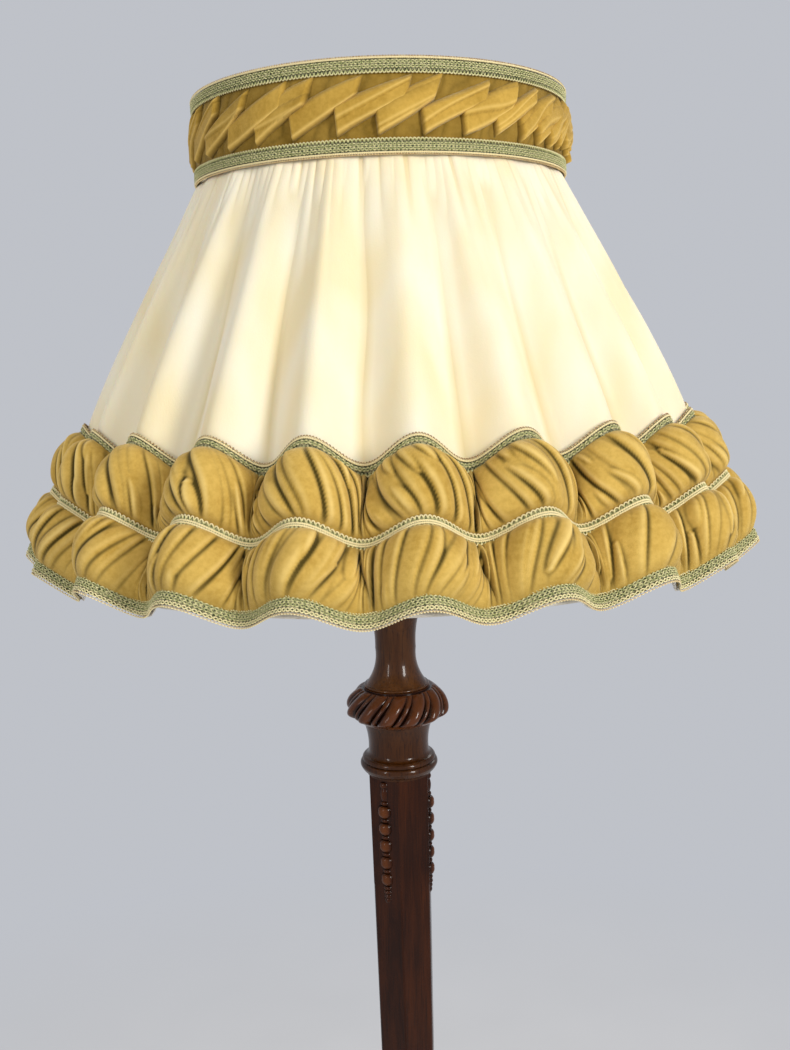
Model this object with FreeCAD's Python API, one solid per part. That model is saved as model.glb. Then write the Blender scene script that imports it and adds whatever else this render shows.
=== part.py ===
import FreeCAD, Part

import math
import os

# A mahogany floor lamp of the candlestick kind: a six-sided column that tapers towards its foot,
# turned and gadrooned collars, a moulded round base on three bun feet, a brass bayonet lampholder
# with a push-bar switch, and a gathered cloth shade with ruched velvet bands on a wire frame.
# Millimetres. +Z is up and the origin is on the floor, under the middle of the base.

Vector = FreeCAD.Vector
UP = Vector(0, 0, 1)
ORIGIN = Vector(0, 0, 0)

# ---- clearances -------------------------------------------------------------------------------
GLUE_GAP = 0.1        # round a glued wooden spigot
RUN_GAP = 0.08        # round a plunger or a push bar in its bore
SEAT_GAP = 0.3        # between two rounded pieces that rest on each other
SLIP_GAP = 0.2        # round a ring or washer that slips over a tube

# ---- foot and base ----------------------------------------------------------------------------
FOOT_COUNT = 3
FOOT_CIRCLE = 122.0   # radius on which the feet stand
FOOT_HEIGHT = 26.0
FOOT_RADIUS = 27.0
FOOT_SOLE = 16.0
FOOT_NECK = 17.0
DOWEL_RADIUS = 6.0
DOWEL_LENGTH = 15.0
PLINTH_RADIUS = 165.0
PLINTH_EDGE = 26.0    # height of the rounded edge
PLINTH_STEP = 11.0    # width of the ledge above the rounded edge
PLINTH_FILLET = 5.0   # height of the square fillet on the ledge
DOME_RISE = 43.0
DOME_TOP = 44.0       # radius where the dome meets the lower collar
BALLAST_RADIUS = 80.0
BALLAST_THICKNESS = 12.0
BALLAST_SCREWS = 3
BALLAST_SCREW_CIRCLE = 55.0
SCREW_RADIUS = 1.9
SCREW_HEAD = 4.0
SCREW_LENGTH = 24.0
BAIZE_RADIUS = 90.0
BAIZE_THICKNESS = 1.2
FLEX_BORE = 5.0       # radius of the way for the flex through all the wood
BUSH_BORE = 4.0
BUSH_RADIUS = 6.0
BUSH_FLANGE = 9.0
BUSH_FLANGE_THICKNESS = 2.0
BUSH_LENGTH = 16.0
BUSH_RISE = 19.0      # height of the flex inlet above the underside of the plinth
SPOT_FACE = 8.0       # how deep the bush's seat is cut into the rounded edge

# ---- turned and carved wood -------------------------------------------------------------------
LOWER_COLLAR_HEIGHT = 36.0
LOWER_COLLAR_RADIUS = 53.0
LOWER_COLLAR_REEDS = 18
VASE_HEIGHT = 216.0
VASE_FOOT = 34.0
VASE_BODY = 37.0
VASE_NECK = 17.5
VASE_RING = 27.0
VASE_CUSHION = 32.0        # height of the mouldings at the foot of the vase
VASE_TOP = 44.0            # height of the mouldings at its top
SPIGOT_RADIUS = 12.0
SPIGOT_LENGTH = 38.0
NARROW_SPIGOT_RADIUS = 9.0
COLUMN_LENGTH = 836.5
COLUMN_TOP_FLATS = 46.2    # across the flats
COLUMN_FOOT_FLATS = 33.0
COLUMN_CHAMFER = 1.6
CHAMFER_STOP = 91.5        # from the top of the column down to where the chamfers begin
CAPITAL_HEIGHT = 42.8
CAPITAL_RADIUS = 30.9
CAPITAL_WAIST = 24.0
COLLAR_HEIGHT = 28.5
COLLAR_RADIUS = 41.3
COLLAR_REEDS = 12
REED_DEPTH = 5.2
REED_TWIST = 30.0          # degrees that a reed turns on its way up
REED_SHARE = 0.70          # of the way round that the reeds fill; thin darts between them fill the rest
DART_DROP = 2.4            # how far a dart lies below the reeds beside it
NECK_HEIGHT = 120.2
NECK_FOOT = 24.4
NECK_FOOT_HEIGHT = 2.2     # of the small bead at the foot of the neck
NECK_WAIST = 16.1
NECK_RING_RISE = 64.0      # from the foot of the neck up to its ring
NECK_RING = 25.0
NECK_CUP = 26.5
NECK_TOP = 23.0

# ---- carved husk drops on three faces of the column --------------------------------------------
DROP_FACES = 3
DROP_START = 2.6           # below the top of the column
BUD_LENGTH = 5.0
HUSK_COUNT = 6
FIRST_HUSK = 0.62          # size of the topmost husk next to the others
HUSK_LENGTH = 10.7
HUSK_RADIUS = 6.2
BEAD_LENGTH = 3.6
BEAD_RADIUS = 4.0
DROP_NECK = 2.8
TAIL_BEADS = 3
DROP_RELIEF = 0.75         # how much of a full round stands out of the face

# ---- lampholder and bulb ----------------------------------------------------------------------
PLATE_RADIUS = 20.0
PLATE_THICKNESS = 2.0
NIPPLE_RADIUS = 5.0
NIPPLE_BORE = 3.6
NIPPLE_DEPTH = 20.0        # how far it is screwed into the neck
LOCKNUT_THICKNESS = 3.0
LOCKNUT_FLATS = 14.0
CAP_HEIGHT = 19.0
CAP_WALL = 1.2
BARREL_RADIUS = 14.5
BARREL_WALL = 1.2
BARREL_HEIGHT = 50.0
INSERT_HEIGHT = 24.0
BAR_RADIUS = 2.4
BAR_RISE = 7.0             # centre of the push bar above the foot of the barrel
BAR_TRAVEL = 6.0
BAR_KNOB_RADIUS = 3.6
BAR_KNOB_LENGTH = 4.0
BAR_CLEARANCE = 3.0        # between a pushed-in knob and the barrel
PLUNGER_RADIUS = 2.2
PLUNGER_LENGTH = 16.5
PLUNGER_SPACING = 9.0
PLUNGER_TRAVEL = 2.5
SPRING_ROOM = 6.0
SPRING_WIRE = 0.3
SPRING_TURNS = 5
SHADE_RING_RADIUS = 17.5
SHADE_RING_HEIGHT = 4.5
SHADE_RING_RISE = 19.0     # underside of the lower shade ring above the foot of the barrel
BULB_CAP_RADIUS = 11.0
BULB_CAP_LENGTH = 25.0
BULB_CAP_WALL = 0.5
BULB_RADIUS = 30.0
BULB_LENGTH = 107.0
GLASS_WALL = 0.8
PIN_RADIUS = 1.0
PIN_REACH = 2.9            # how far a bayonet pin stands out of the cap
PIN_RISE = 7.0             # above the bulb's contact face
TWIST_DEGREES = 20.0
SLOT_CLEARANCE = 0.3

# ---- shade carrier and wire frame -------------------------------------------------------------
CARRIER_RISE = 135.7       # from the top of the washer to the middle of the carrier's ring
CARRIER_RING_RADIUS = 50.0
CARRIER_WIRE = 2.0         # radius
CARRIER_ARM_WIRE = 1.5
CARRIER_ARMS = 3
CARRIER_ELBOW = 46.0
ARM_BEND = 8.0
WASHER_RADIUS = 24.0
WASHER_THICKNESS = 1.5
LUG_RISE = 8.0
GIMBAL_WIRE = 2.0
GIMBAL_RISE = 72.7         # from the gimbal's ring up to the collar ring
FRAME_WIRE = 1.6
STRUT_WIRE = 1.4
STRUT_BEND = 5.0
STRUT_COUNT = 11
BRAZE = 0.2                # how far brazed wires bite into each other

# ---- shade cloth ------------------------------------------------------------------------------
LOBES = 22                 # folds of the skirt all round
CLOTH = 1.0
LINING = 0.6
COLLAR_R = 131.6           # outside of the cloth at the collar
COLLAR_PLEAT = 0.8
BAND_HEIGHT = 58.0
BAND_BULGE = 6.5
BAND_FOLDS = 30
BAND_FOLD_DEPTH = 3.0
BAND_FOLD_LEAN = 19.0      # degrees that a fold leans over the height of the band
COVER_DROP = 178.3         # from the collar to the flounce's upper trim
UPPER_R = 216.1
UPPER_PLEAT = 6.5
UPPER_SCALLOP = 9.0        # a ridge rises and a valley drops by this much
UPPER_ROW = 41.2           # from the upper trim to the middle one
MIDDLE_R = 239.1
MIDDLE_PLEAT = 7.5
MIDDLE_SCALLOP = 7.5
LOWER_ROW = 46.0           # from the middle trim to the hem
HEM_R = 259.6
HEM_PLEAT = 8.5
HEM_SCALLOP = 7.0
PUFF = 8.0
TRIM_THICKNESS = 1.8
WIDE_TRIM = 10.4
UPPER_TRIM = 8.0
NARROW_TRIM = 5.6

# ---- heights that follow ----------------------------------------------------------------------
plinth_z = FOOT_HEIGHT
ledge_z = plinth_z + PLINTH_EDGE
dome_z = ledge_z + PLINTH_FILLET
lower_collar_z = dome_z + DOME_RISE
vase_z = lower_collar_z + LOWER_COLLAR_HEIGHT
column_z = vase_z + VASE_HEIGHT
capital_z = column_z + COLUMN_LENGTH
collar_z = capital_z + CAPITAL_HEIGHT
neck_z = collar_z + COLLAR_HEIGHT
plate_z = neck_z + NECK_HEIGHT
locknut_z = plate_z + PLATE_THICKNESS
cap_z = locknut_z + LOCKNUT_THICKNESS
barrel_z = cap_z + CAP_HEIGHT
barrel_top = barrel_z + BARREL_HEIGHT
bar_z = barrel_z + BAR_RISE
insert_z = barrel_z + GLUE_GAP
insert_top = insert_z + INSERT_HEIGHT
spring_z = bar_z + BAR_RADIUS + 2.0
plunger_z = spring_z + SPRING_ROOM
bulb_z = plunger_z + PLUNGER_LENGTH + SLIP_GAP
pin_z = bulb_z + PIN_RISE
ring_low_z = barrel_z + SHADE_RING_RISE
washer_z = ring_low_z + SHADE_RING_HEIGHT + SEAT_GAP
ring_high_z = washer_z + WASHER_THICKNESS + SEAT_GAP
carrier_ring_z = washer_z + WASHER_THICKNESS + CARRIER_RISE
gimbal_z = carrier_ring_z + CARRIER_WIRE + GIMBAL_WIRE + SEAT_GAP
shade_collar_z = gimbal_z + GIMBAL_RISE
shade_top_z = shade_collar_z + BAND_HEIGHT
upper_z = shade_collar_z - COVER_DROP
middle_z = upper_z - UPPER_ROW
hem_z = middle_z - LOWER_ROW

gimbal_radius = CARRIER_RING_RADIUS - BRAZE - SEAT_GAP
frame_radius = COLLAR_R - COLLAR_PLEAT - CLOTH - SEAT_GAP - FRAME_WIRE
frame_inset = FRAME_WIRE + SEAT_GAP
lining_inset = frame_inset + STRUT_WIRE + SEAT_GAP


# ---- helpers ----------------------------------------------------------------------------------
def turned(start, *moves):
    """A solid turned about Z. start is (radius, height); a move is (radius, height) for a line, or
    (radius, height, radius, height) for an arc through the first point to the second."""
    edges = []
    here = Vector(start[0], 0, start[1])
    first = here
    for move in moves:
        there = Vector(move[-2], 0, move[-1])
        if len(move) == 4:
            edges.append(Part.Arc(here, Vector(move[0], 0, move[1]), there).toShape())
        else:
            edges.append(Part.LineSegment(here, there).toShape())
        here = there
    if (here - first).Length > 1e-6:
        edges.append(Part.LineSegment(here, first).toShape())
    return Part.Face(Part.Wire(edges)).revolve(ORIGIN, UP, 360)


def rod(radius, low, high):
    return Part.makeCylinder(radius, high - low, Vector(0, 0, low))


def tube(outer, inner, low, high):
    return rod(outer, low, high).cut(rod(inner, low - 1, high + 1))


def around(shape, count, first=0.0):
    """count copies of a shape, spaced evenly round Z."""
    copies = []
    for i in range(count):
        copy = shape.copy()
        copy.rotate(ORIGIN, UP, first + 360.0 * i / count)
        copies.append(copy)
    return copies


def polar(radius, degrees, z):
    angle = math.radians(degrees)
    return Vector(radius * math.cos(angle), radius * math.sin(angle), z)


def wire_piece(points, radius, bend):
    """Round wire along straight runs joined by bends of one radius, in the XZ plane."""
    corners = [Vector(x, 0, z) for x, z in points]
    edges = []
    here = corners[0]
    for before, corner, after in zip(corners, corners[1:], corners[2:]):
        arrive = (corner - before).normalize()
        leave = (after - corner).normalize()
        half_turn = arrive.getAngle(leave) / 2
        setback = bend * math.tan(half_turn)
        start = corner - arrive * setback
        end = corner + leave * setback
        centre = corner + (leave - arrive).normalize() * (bend / math.cos(half_turn))
        middle = centre + (corner - centre).normalize() * bend
        edges.append(Part.LineSegment(here, start).toShape())
        edges.append(Part.Arc(start, middle, end).toShape())
        here = end
    edges.append(Part.LineSegment(here, corners[-1]).toShape())
    path = Part.Wire(edges)
    section = Part.Wire(Part.makeCircle(radius, corners[0], corners[1] - corners[0]))
    return path.makePipeShell([section], True, False)


def save(name, *solids):
    shape = solids[0] if len(solids) == 1 else Part.makeCompound(list(solids))
    for solid in shape.Solids:
        if not solid.isValid() or solid.Volume <= 0:
            print("CHECK", name, solid.isValid(), solid.Volume)
    shape.exportStep("parts/" + name + ".step")


# ---- base -------------------------------------------------------------------------------------
def bun_feet():
    foot = turned(
        (0, 0), (FOOT_SOLE, 0),
        (FOOT_RADIUS, FOOT_HEIGHT * 0.48, FOOT_NECK, FOOT_HEIGHT - 3.0),
        (FOOT_NECK, FOOT_HEIGHT),
        (DOWEL_RADIUS, FOOT_HEIGHT), (DOWEL_RADIUS, FOOT_HEIGHT + DOWEL_LENGTH),
        (0, FOOT_HEIGHT + DOWEL_LENGTH),
    )
    foot.translate(Vector(FOOT_CIRCLE, 0, 0))
    return around(foot, FOOT_COUNT, 30.0)


def base_plinth():
    ledge = PLINTH_RADIUS - PLINTH_EDGE * 0.35
    step = ledge - PLINTH_STEP
    body = turned(
        (0, plinth_z), (ledge, plinth_z),
        (PLINTH_RADIUS, plinth_z + PLINTH_EDGE / 2, ledge, ledge_z),
        (step, ledge_z), (step, dome_z),
        (DOME_TOP + (step - DOME_TOP) * 0.42, dome_z + DOME_RISE * 0.30,
         DOME_TOP + 8.0, dome_z + DOME_RISE * 0.82),
        (DOME_TOP, dome_z + DOME_RISE * 0.82), (DOME_TOP, lower_collar_z),
        (0, lower_collar_z),
    )
    body = body.cut(rod(BALLAST_RADIUS + SEAT_GAP, plinth_z - 1, plinth_z + BALLAST_THICKNESS + SEAT_GAP))
    body = body.cut(rod(FLEX_BORE, plinth_z, lower_collar_z + 1))
    socket_floor = lower_collar_z - SPIGOT_LENGTH - GLUE_GAP
    body = body.cut(rod(SPIGOT_RADIUS + GLUE_GAP, socket_floor, lower_collar_z + 1))
    dowel_hole = rod(DOWEL_RADIUS + GLUE_GAP, plinth_z - 1, plinth_z + DOWEL_LENGTH + 1)
    dowel_hole.translate(Vector(FOOT_CIRCLE, 0, 0))
    for hole in around(dowel_hole, FOOT_COUNT, 30.0):
        body = body.cut(hole)
    screw_hole = rod(SCREW_RADIUS + GLUE_GAP, plinth_z, plinth_z + SCREW_LENGTH + 1)
    screw_hole.translate(Vector(BALLAST_SCREW_CIRCLE, 0, 0))
    for hole in around(screw_hole, BALLAST_SCREWS, 60.0):
        body = body.cut(hole)
    inlet_z = plinth_z + BUSH_RISE
    seat_y = PLINTH_RADIUS - SPOT_FACE
    channel = Part.makeCylinder(FLEX_BORE, seat_y, Vector(0, 0, inlet_z), Vector(0, 1, 0))
    bush_end = Vector(0, seat_y - BUSH_LENGTH - 1, inlet_z)
    bush_hole = Part.makeCylinder(BUSH_RADIUS + GLUE_GAP, BUSH_LENGTH + 1, bush_end, Vector(0, 1, 0))
    seat = Part.makeCylinder(
        BUSH_FLANGE + 1, SPOT_FACE + 5, Vector(0, seat_y, inlet_z), Vector(0, 1, 0))
    return body.cut(channel).cut(bush_hole).cut(seat)


def flex_bush():
    inlet_z = plinth_z + BUSH_RISE
    seat_y = PLINTH_RADIUS - SPOT_FACE
    along = Vector(0, 1, 0)
    sleeve = Part.makeCylinder(BUSH_RADIUS, BUSH_LENGTH, Vector(0, seat_y - BUSH_LENGTH, inlet_z), along)
    flange = Part.makeCylinder(BUSH_FLANGE, BUSH_FLANGE_THICKNESS, Vector(0, seat_y, inlet_z), along)
    bore_length = BUSH_LENGTH + BUSH_FLANGE_THICKNESS + 2
    bore = Part.makeCylinder(BUSH_BORE, bore_length, Vector(0, seat_y - BUSH_LENGTH - 1, inlet_z), along)
    return sleeve.fuse(flange).cut(bore).removeSplitter()


def ballast_disc():
    disc = tube(BALLAST_RADIUS, FLEX_BORE + 3, plinth_z + SEAT_GAP, plinth_z + SEAT_GAP + BALLAST_THICKNESS)
    hole = rod(SCREW_RADIUS + SLIP_GAP, plinth_z, plinth_z + BALLAST_THICKNESS + 2)
    sink = Part.makeCone(SCREW_HEAD + SLIP_GAP, SCREW_RADIUS + SLIP_GAP, SCREW_HEAD - SCREW_RADIUS,
                         Vector(0, 0, plinth_z + SEAT_GAP))
    cutter = hole.fuse(sink)
    cutter.translate(Vector(BALLAST_SCREW_CIRCLE, 0, 0))
    for one in around(cutter, BALLAST_SCREWS, 60.0):
        disc = disc.cut(one)
    return disc


def ballast_screws():
    head_z = plinth_z + SEAT_GAP
    screw = turned(
        (0, head_z), (SCREW_HEAD, head_z),
        (SCREW_RADIUS, head_z + SCREW_HEAD - SCREW_RADIUS),
        (SCREW_RADIUS, head_z + SCREW_LENGTH - 3), (0, head_z + SCREW_LENGTH),
    )
    screw.translate(Vector(BALLAST_SCREW_CIRCLE, 0, 0))
    return around(screw, BALLAST_SCREWS, 60.0)


# ---- carved collars ---------------------------------------------------------------------------
def reeded_wire(radius, depth, z, count, turn):
    """A closed ring of wide arcs, the reeds, with a narrow and lower arc, a dart, between each two."""
    edges = []
    step = 360.0 / count
    dart = radius - DART_DROP * depth / REED_DEPTH
    for i in range(count):
        start = turn + i * step
        meet = start + step * REED_SHARE
        for first, last, crest in ((start, meet, radius), (meet, start + step, dart)):
            edges.append(Part.Arc(
                polar(radius - depth, first, z),
                polar(crest, (first + last) / 2, z),
                polar(radius - depth, last, z),
            ).toShape())
    return Part.Wire(edges)


def gadrooned_collar(low, height, radius, count, bore, waist):
    """Reeds that lean as they rise: thin on the sloping top, and full and rounded where they end
    above a plain underside."""
    # (share of the height, share of the bulge, share of the reed depth)
    levels = [(0.15, 0.48, 0.10), (0.20, 0.80, 0.70), (0.27, 0.95, 1.0), (0.38, 1.0, 1.0),
              (0.56, 0.92, 0.85), (0.74, 0.72, 0.65), (0.88, 0.45, 0.45), (0.96, 0.20, 0.25)]
    reach = radius - waist
    wires = []
    for rise, bulge, depth in levels:
        r = waist + reach * bulge
        wires.append(reeded_wire(r, REED_DEPTH * depth, low + height * rise, count, REED_TWIST * rise))
    reeds = Part.makeLoft(wires, True, False)
    underside = turned(
        (0, low), (waist + 0.6, low),
        (waist + reach * 0.38, low + height * 0.07, waist + reach * 0.62, low + height * 0.18),
        (0, low + height * 0.18),
    )
    high_seat = rod(waist + 0.5, low + height * 0.90, low + height)
    return reeds.fuse(underside).fuse(high_seat).cut(rod(bore, low - 1, low + height + 1))


# ---- vase, column and top ---------------------------------------------------------------------
def vase_turning():
    low, high = vase_z, column_z
    swell = low + VASE_CUSHION
    ring = high - VASE_TOP
    split = swell + (ring - swell) * 0.58
    body = turned(
        (0, low), (VASE_FOOT, low), (VASE_FOOT, low + 6),
        (VASE_FOOT - 11, low + 16, VASE_FOOT - 6, swell - 4),
        (VASE_FOOT - 3, swell - 4), (VASE_FOOT - 3, swell),
        (VASE_BODY, swell + (split - swell) * 0.42, VASE_NECK + 6, split),
        (VASE_NECK, (split + ring) / 2, VASE_NECK + 3.5, ring - 2),
        (VASE_RING - 4, ring), (VASE_RING, ring + 5, VASE_RING - 4, ring + 10),
        (VASE_NECK + 3, ring + 10),
        (VASE_NECK + 1.5, ring + 18, VASE_NECK + 4, ring + 26),
        (VASE_RING - 3, ring + 27), (VASE_RING + 1, ring + 33, VASE_RING - 3, high - 5),
        (VASE_RING - 5, high - 5), (VASE_RING - 4, high - 2.5, VASE_RING - 5, high),
        (0, high),
    )
    lower_spigot = rod(SPIGOT_RADIUS, lower_collar_z - SPIGOT_LENGTH, low)
    upper_spigot = rod(NARROW_SPIGOT_RADIUS, high, high + SPIGOT_LENGTH)
    whole = body.fuse(lower_spigot).fuse(upper_spigot)
    return whole.cut(rod(FLEX_BORE, lower_collar_z - SPIGOT_LENGTH - 1, high + SPIGOT_LENGTH + 1))


def column_flats(z):
    """Across the flats of the column at a height."""
    share = (z - column_z) / COLUMN_LENGTH
    return COLUMN_FOOT_FLATS + (COLUMN_TOP_FLATS - COLUMN_FOOT_FLATS) * share


def hexagon(z, chamfer):
    """The column's section, with a corner towards -Y; each corner is cut off by chamfer, or is sharp."""
    corner_radius = column_flats(z) / 2 / math.cos(math.radians(30))
    corners = [polar(corner_radius, -90 + 60 * i, z) for i in range(6)]
    if not chamfer:
        return Part.makePolygon(corners + corners[:1])
    points = []
    for i, corner in enumerate(corners):
        back = (corners[i - 1] - corner).normalize()
        ahead = (corners[(i + 1) % 6] - corner).normalize()
        points.append(corner + back * chamfer / math.sqrt(3))
        points.append(corner + ahead * chamfer / math.sqrt(3))
    return Part.makePolygon(points + points[:1])


def column_shaft():
    stop_z = capital_z - CHAMFER_STOP
    plain = Part.makeLoft([hexagon(stop_z, 0), hexagon(capital_z, 0)], True, True)
    chamfered = Part.makeLoft(
        [hexagon(column_z, COLUMN_CHAMFER), hexagon(stop_z, COLUMN_CHAMFER)], True, True)
    whole = plain.fuse([chamfered] + husk_drops())
    whole = whole.cut(rod(FLEX_BORE, column_z - 1, capital_z + 1))
    whole = whole.cut(rod(NARROW_SPIGOT_RADIUS + GLUE_GAP, column_z - 1, column_z + SPIGOT_LENGTH + GLUE_GAP))
    return whole.cut(rod(SPIGOT_RADIUS + GLUE_GAP, capital_z - SPIGOT_LENGTH - GLUE_GAP, capital_z + 1))


def husk_drops():
    """Three drops of husks and beads, each cut flat at the back and let a little into its face."""
    z = capital_z - DROP_START
    moves = [(DROP_NECK, z), (BEAD_RADIUS, z - BUD_LENGTH * 0.4, DROP_NECK, z - BUD_LENGTH)]
    z -= BUD_LENGTH
    for i in range(HUSK_COUNT):
        husk = HUSK_RADIUS * (1.0 - 0.025 * i if i else FIRST_HUSK)
        moves.append((husk * 0.86, z - HUSK_LENGTH * 0.12, husk, z - HUSK_LENGTH * 0.42))
        moves.append((husk * 0.90, z - HUSK_LENGTH * 0.80, DROP_NECK, z - HUSK_LENGTH))
        z -= HUSK_LENGTH
        moves.append((BEAD_RADIUS, z - BEAD_LENGTH / 2, DROP_NECK, z - BEAD_LENGTH))
        z -= BEAD_LENGTH
    for i in range(TAIL_BEADS):
        shrink = 1.0 - 0.08 * i
        moves.append((BEAD_RADIUS * shrink, z - BEAD_LENGTH * 0.5, DROP_NECK, z - BEAD_LENGTH))
        z -= BEAD_LENGTH
    moves.append((0, z))
    spindle = turned((0, capital_z - DROP_START), *moves)
    # the face leans with the taper, so the spindle is set on the slope of the face
    lean = math.degrees(math.atan((COLUMN_TOP_FLATS - COLUMN_FOOT_FLATS) / 2 / COLUMN_LENGTH))
    sink = HUSK_RADIUS * (1.0 - DROP_RELIEF)
    block = Part.makeBox(40, 40, 2 * COLUMN_LENGTH, Vector(sink, -20, capital_z - COLUMN_LENGTH))
    drop = spindle.common(block)
    drop.translate(Vector(column_flats(capital_z) / 2 - sink - BRAZE, 0, 0))
    drop.rotate(Vector(column_flats(capital_z) / 2, 0, capital_z), Vector(0, 1, 0), lean)
    return around(drop, DROP_FACES, 0.0)


def column_capital():
    """A thin fillet, an undercut bead, a smaller bead and a flaring cove, from the column up."""
    low, high = capital_z, collar_z
    cove = low + 14.2
    body = turned(
        (0, low), (CAPITAL_RADIUS - 4.9, low), (CAPITAL_RADIUS - 4.9, low + 1.6),
        (CAPITAL_RADIUS - 2.6, low + 2.9, CAPITAL_RADIUS - 0.9, low + 5.4),
        (CAPITAL_RADIUS, low + 7.8, CAPITAL_RADIUS - 0.9, low + 10.2),
        (CAPITAL_RADIUS - 2.0, low + 10.7),
        (CAPITAL_RADIUS - 1.7, low + 12.3, CAPITAL_RADIUS - 2.7, cove),
        (CAPITAL_RADIUS - 3.4, cove + 0.6),
        (CAPITAL_WAIST + 1.0, cove + 1.9, CAPITAL_WAIST + 0.1, cove + 4.0),
        (CAPITAL_WAIST + 0.2, cove + (high - cove) * 0.55, CAPITAL_WAIST + 3.4, high),
        (0, high),
    )
    lower_spigot = rod(SPIGOT_RADIUS, low - SPIGOT_LENGTH, low)
    upper_spigot = rod(NARROW_SPIGOT_RADIUS, high, neck_z + SPIGOT_LENGTH * 0.6)
    whole = body.fuse(lower_spigot).fuse(upper_spigot)
    return whole.cut(rod(FLEX_BORE, low - SPIGOT_LENGTH - 1, neck_z + SPIGOT_LENGTH))


def neck_turning():
    low, high = neck_z, plate_z
    flare = low + NECK_FOOT_HEIGHT
    ring = low + NECK_RING_RISE
    cup = high - 14
    body = turned(
        (0, low), (NECK_FOOT + 0.3, low),
        (NECK_FOOT + 1.2, (low + flare) / 2, NECK_FOOT + 0.3, flare), (NECK_FOOT - 0.4, flare),
        (NECK_WAIST + 2.5, low + (ring - low) * 0.18, NECK_WAIST, low + (ring - low) * 0.48),
        (NECK_WAIST + 0.8, low + (ring - low) * 0.74, NECK_RING - 4, ring),
        (NECK_RING - 2, ring), (NECK_RING, ring + 3, NECK_RING - 2, ring + 6),
        (NECK_RING - 5, ring + 6),
        (NECK_CUP, (ring + 6 + cup) / 2, NECK_WAIST + 1.5, cup),
        (NECK_WAIST + 2.5, high - 9, NECK_TOP, high - 5),
        (NECK_TOP, high), (0, high),
    )
    body = body.cut(rod(FLEX_BORE, low - 1, high + 1))
    body = body.cut(rod(NARROW_SPIGOT_RADIUS + GLUE_GAP, low - 1, low + SPIGOT_LENGTH * 0.6 + GLUE_GAP))
    return body.cut(rod(NIPPLE_RADIUS + RUN_GAP, high - NIPPLE_DEPTH, high + 1))


# ---- lampholder -------------------------------------------------------------------------------
def holder_plate():
    plate = turned(
        (0, plate_z), (PLATE_RADIUS, plate_z), (PLATE_RADIUS, plate_z + PLATE_THICKNESS * 0.4),
        (PLATE_RADIUS - 1.5, plate_z + PLATE_THICKNESS), (0, plate_z + PLATE_THICKNESS),
    )
    return plate.cut(rod(NIPPLE_RADIUS + SLIP_GAP, plate_z - 1, plate_z + PLATE_THICKNESS + 1))


def nipple():
    return tube(NIPPLE_RADIUS, NIPPLE_BORE, plate_z - NIPPLE_DEPTH + 1, cap_z + 6)


def locknut():
    corner = LOCKNUT_FLATS / 2 / math.cos(math.radians(30))
    corners = [polar(corner, 60 * i, locknut_z) for i in range(7)]
    nut = Part.Face(Part.makePolygon(corners)).extrude(Vector(0, 0, LOCKNUT_THICKNESS))
    return nut.cut(rod(NIPPLE_RADIUS + RUN_GAP, locknut_z - 1, cap_z + 1))


def holder_cap():
    outer = turned(
        (0, cap_z), (9.5, cap_z),
        (BARREL_RADIUS - 1.0, cap_z + CAP_HEIGHT * 0.4, BARREL_RADIUS + 0.6, barrel_z),
        (0, barrel_z),
    )
    inner = turned(
        (0, cap_z + CAP_WALL), (9.5 - CAP_WALL, cap_z + CAP_WALL),
        (BARREL_RADIUS - 1.0 - CAP_WALL, cap_z + CAP_HEIGHT * 0.42,
         BARREL_RADIUS - CAP_WALL, barrel_z + 0.01),
        (0, barrel_z + 0.01),
    )
    return outer.cut(inner).cut(rod(NIPPLE_RADIUS + RUN_GAP, cap_z - 1, cap_z + 3))


def slot_sector(outer, low, high, first, last):
    """A piece of a ring between two angles, as a cutter."""
    ring = Part.makeCylinder(outer, high - low, Vector(0, 0, low), UP, last - first)
    ring.rotate(ORIGIN, UP, first)
    return ring


def holder_barrel():
    inner = BARREL_RADIUS - BARREL_WALL
    barrel = tube(BARREL_RADIUS, inner, barrel_z, barrel_top)
    lip = tube(BARREL_RADIUS + 1.2, BARREL_RADIUS - 0.4, ring_low_z - 2.0, ring_low_z - SLIP_GAP)
    barrel = barrel.fuse(lip)
    hole = Part.makeCylinder(
        BAR_RADIUS + RUN_GAP, 4 * BARREL_RADIUS, Vector(-2 * BARREL_RADIUS, 0, bar_z), Vector(1, 0, 0))
    barrel = barrel.cut(hole)
    spare = math.degrees((PIN_RADIUS + SLOT_CLEARANCE) / inner)
    floor = pin_z - PLUNGER_TRAVEL - PIN_RADIUS - SLOT_CLEARANCE
    roof = pin_z + PIN_RADIUS + SLOT_CLEARANCE
    reach = BARREL_RADIUS + 1
    for side in (90.0, 270.0):
        across = slot_sector(reach, floor, roof, side - spare, side + TWIST_DEGREES + spare)
        upright = slot_sector(reach, floor, barrel_top + 1,
                              side + TWIST_DEGREES - spare, side + TWIST_DEGREES + spare)
        barrel = barrel.cut(across).cut(upright)
    return barrel.removeSplitter()


def holder_insert():
    radius = BARREL_RADIUS - BARREL_WALL - SLIP_GAP
    block = rod(radius, insert_z, insert_top)
    bar = Part.makeCylinder(
        BAR_RADIUS + RUN_GAP, 4 * radius, Vector(-2 * radius, 0, bar_z), Vector(1, 0, 0))
    block = block.cut(bar)
    for side in (-1, 1):
        bore = rod(PLUNGER_RADIUS + RUN_GAP, spring_z, insert_top + 1)
        bore.translate(Vector(0, side * PLUNGER_SPACING / 2, 0))
        block = block.cut(bore)
    return block


def contact_plungers():
    plungers = []
    for side in (-1, 1):
        top = plunger_z + PLUNGER_LENGTH
        plunger = turned(
            (0, plunger_z), (PLUNGER_RADIUS, plunger_z), (PLUNGER_RADIUS, top - 1.0),
            (PLUNGER_RADIUS - 1.0, top), (0, top),
        )
        plunger.translate(Vector(0, side * PLUNGER_SPACING / 2, 0))
        plungers.append(plunger)
    return plungers


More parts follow.
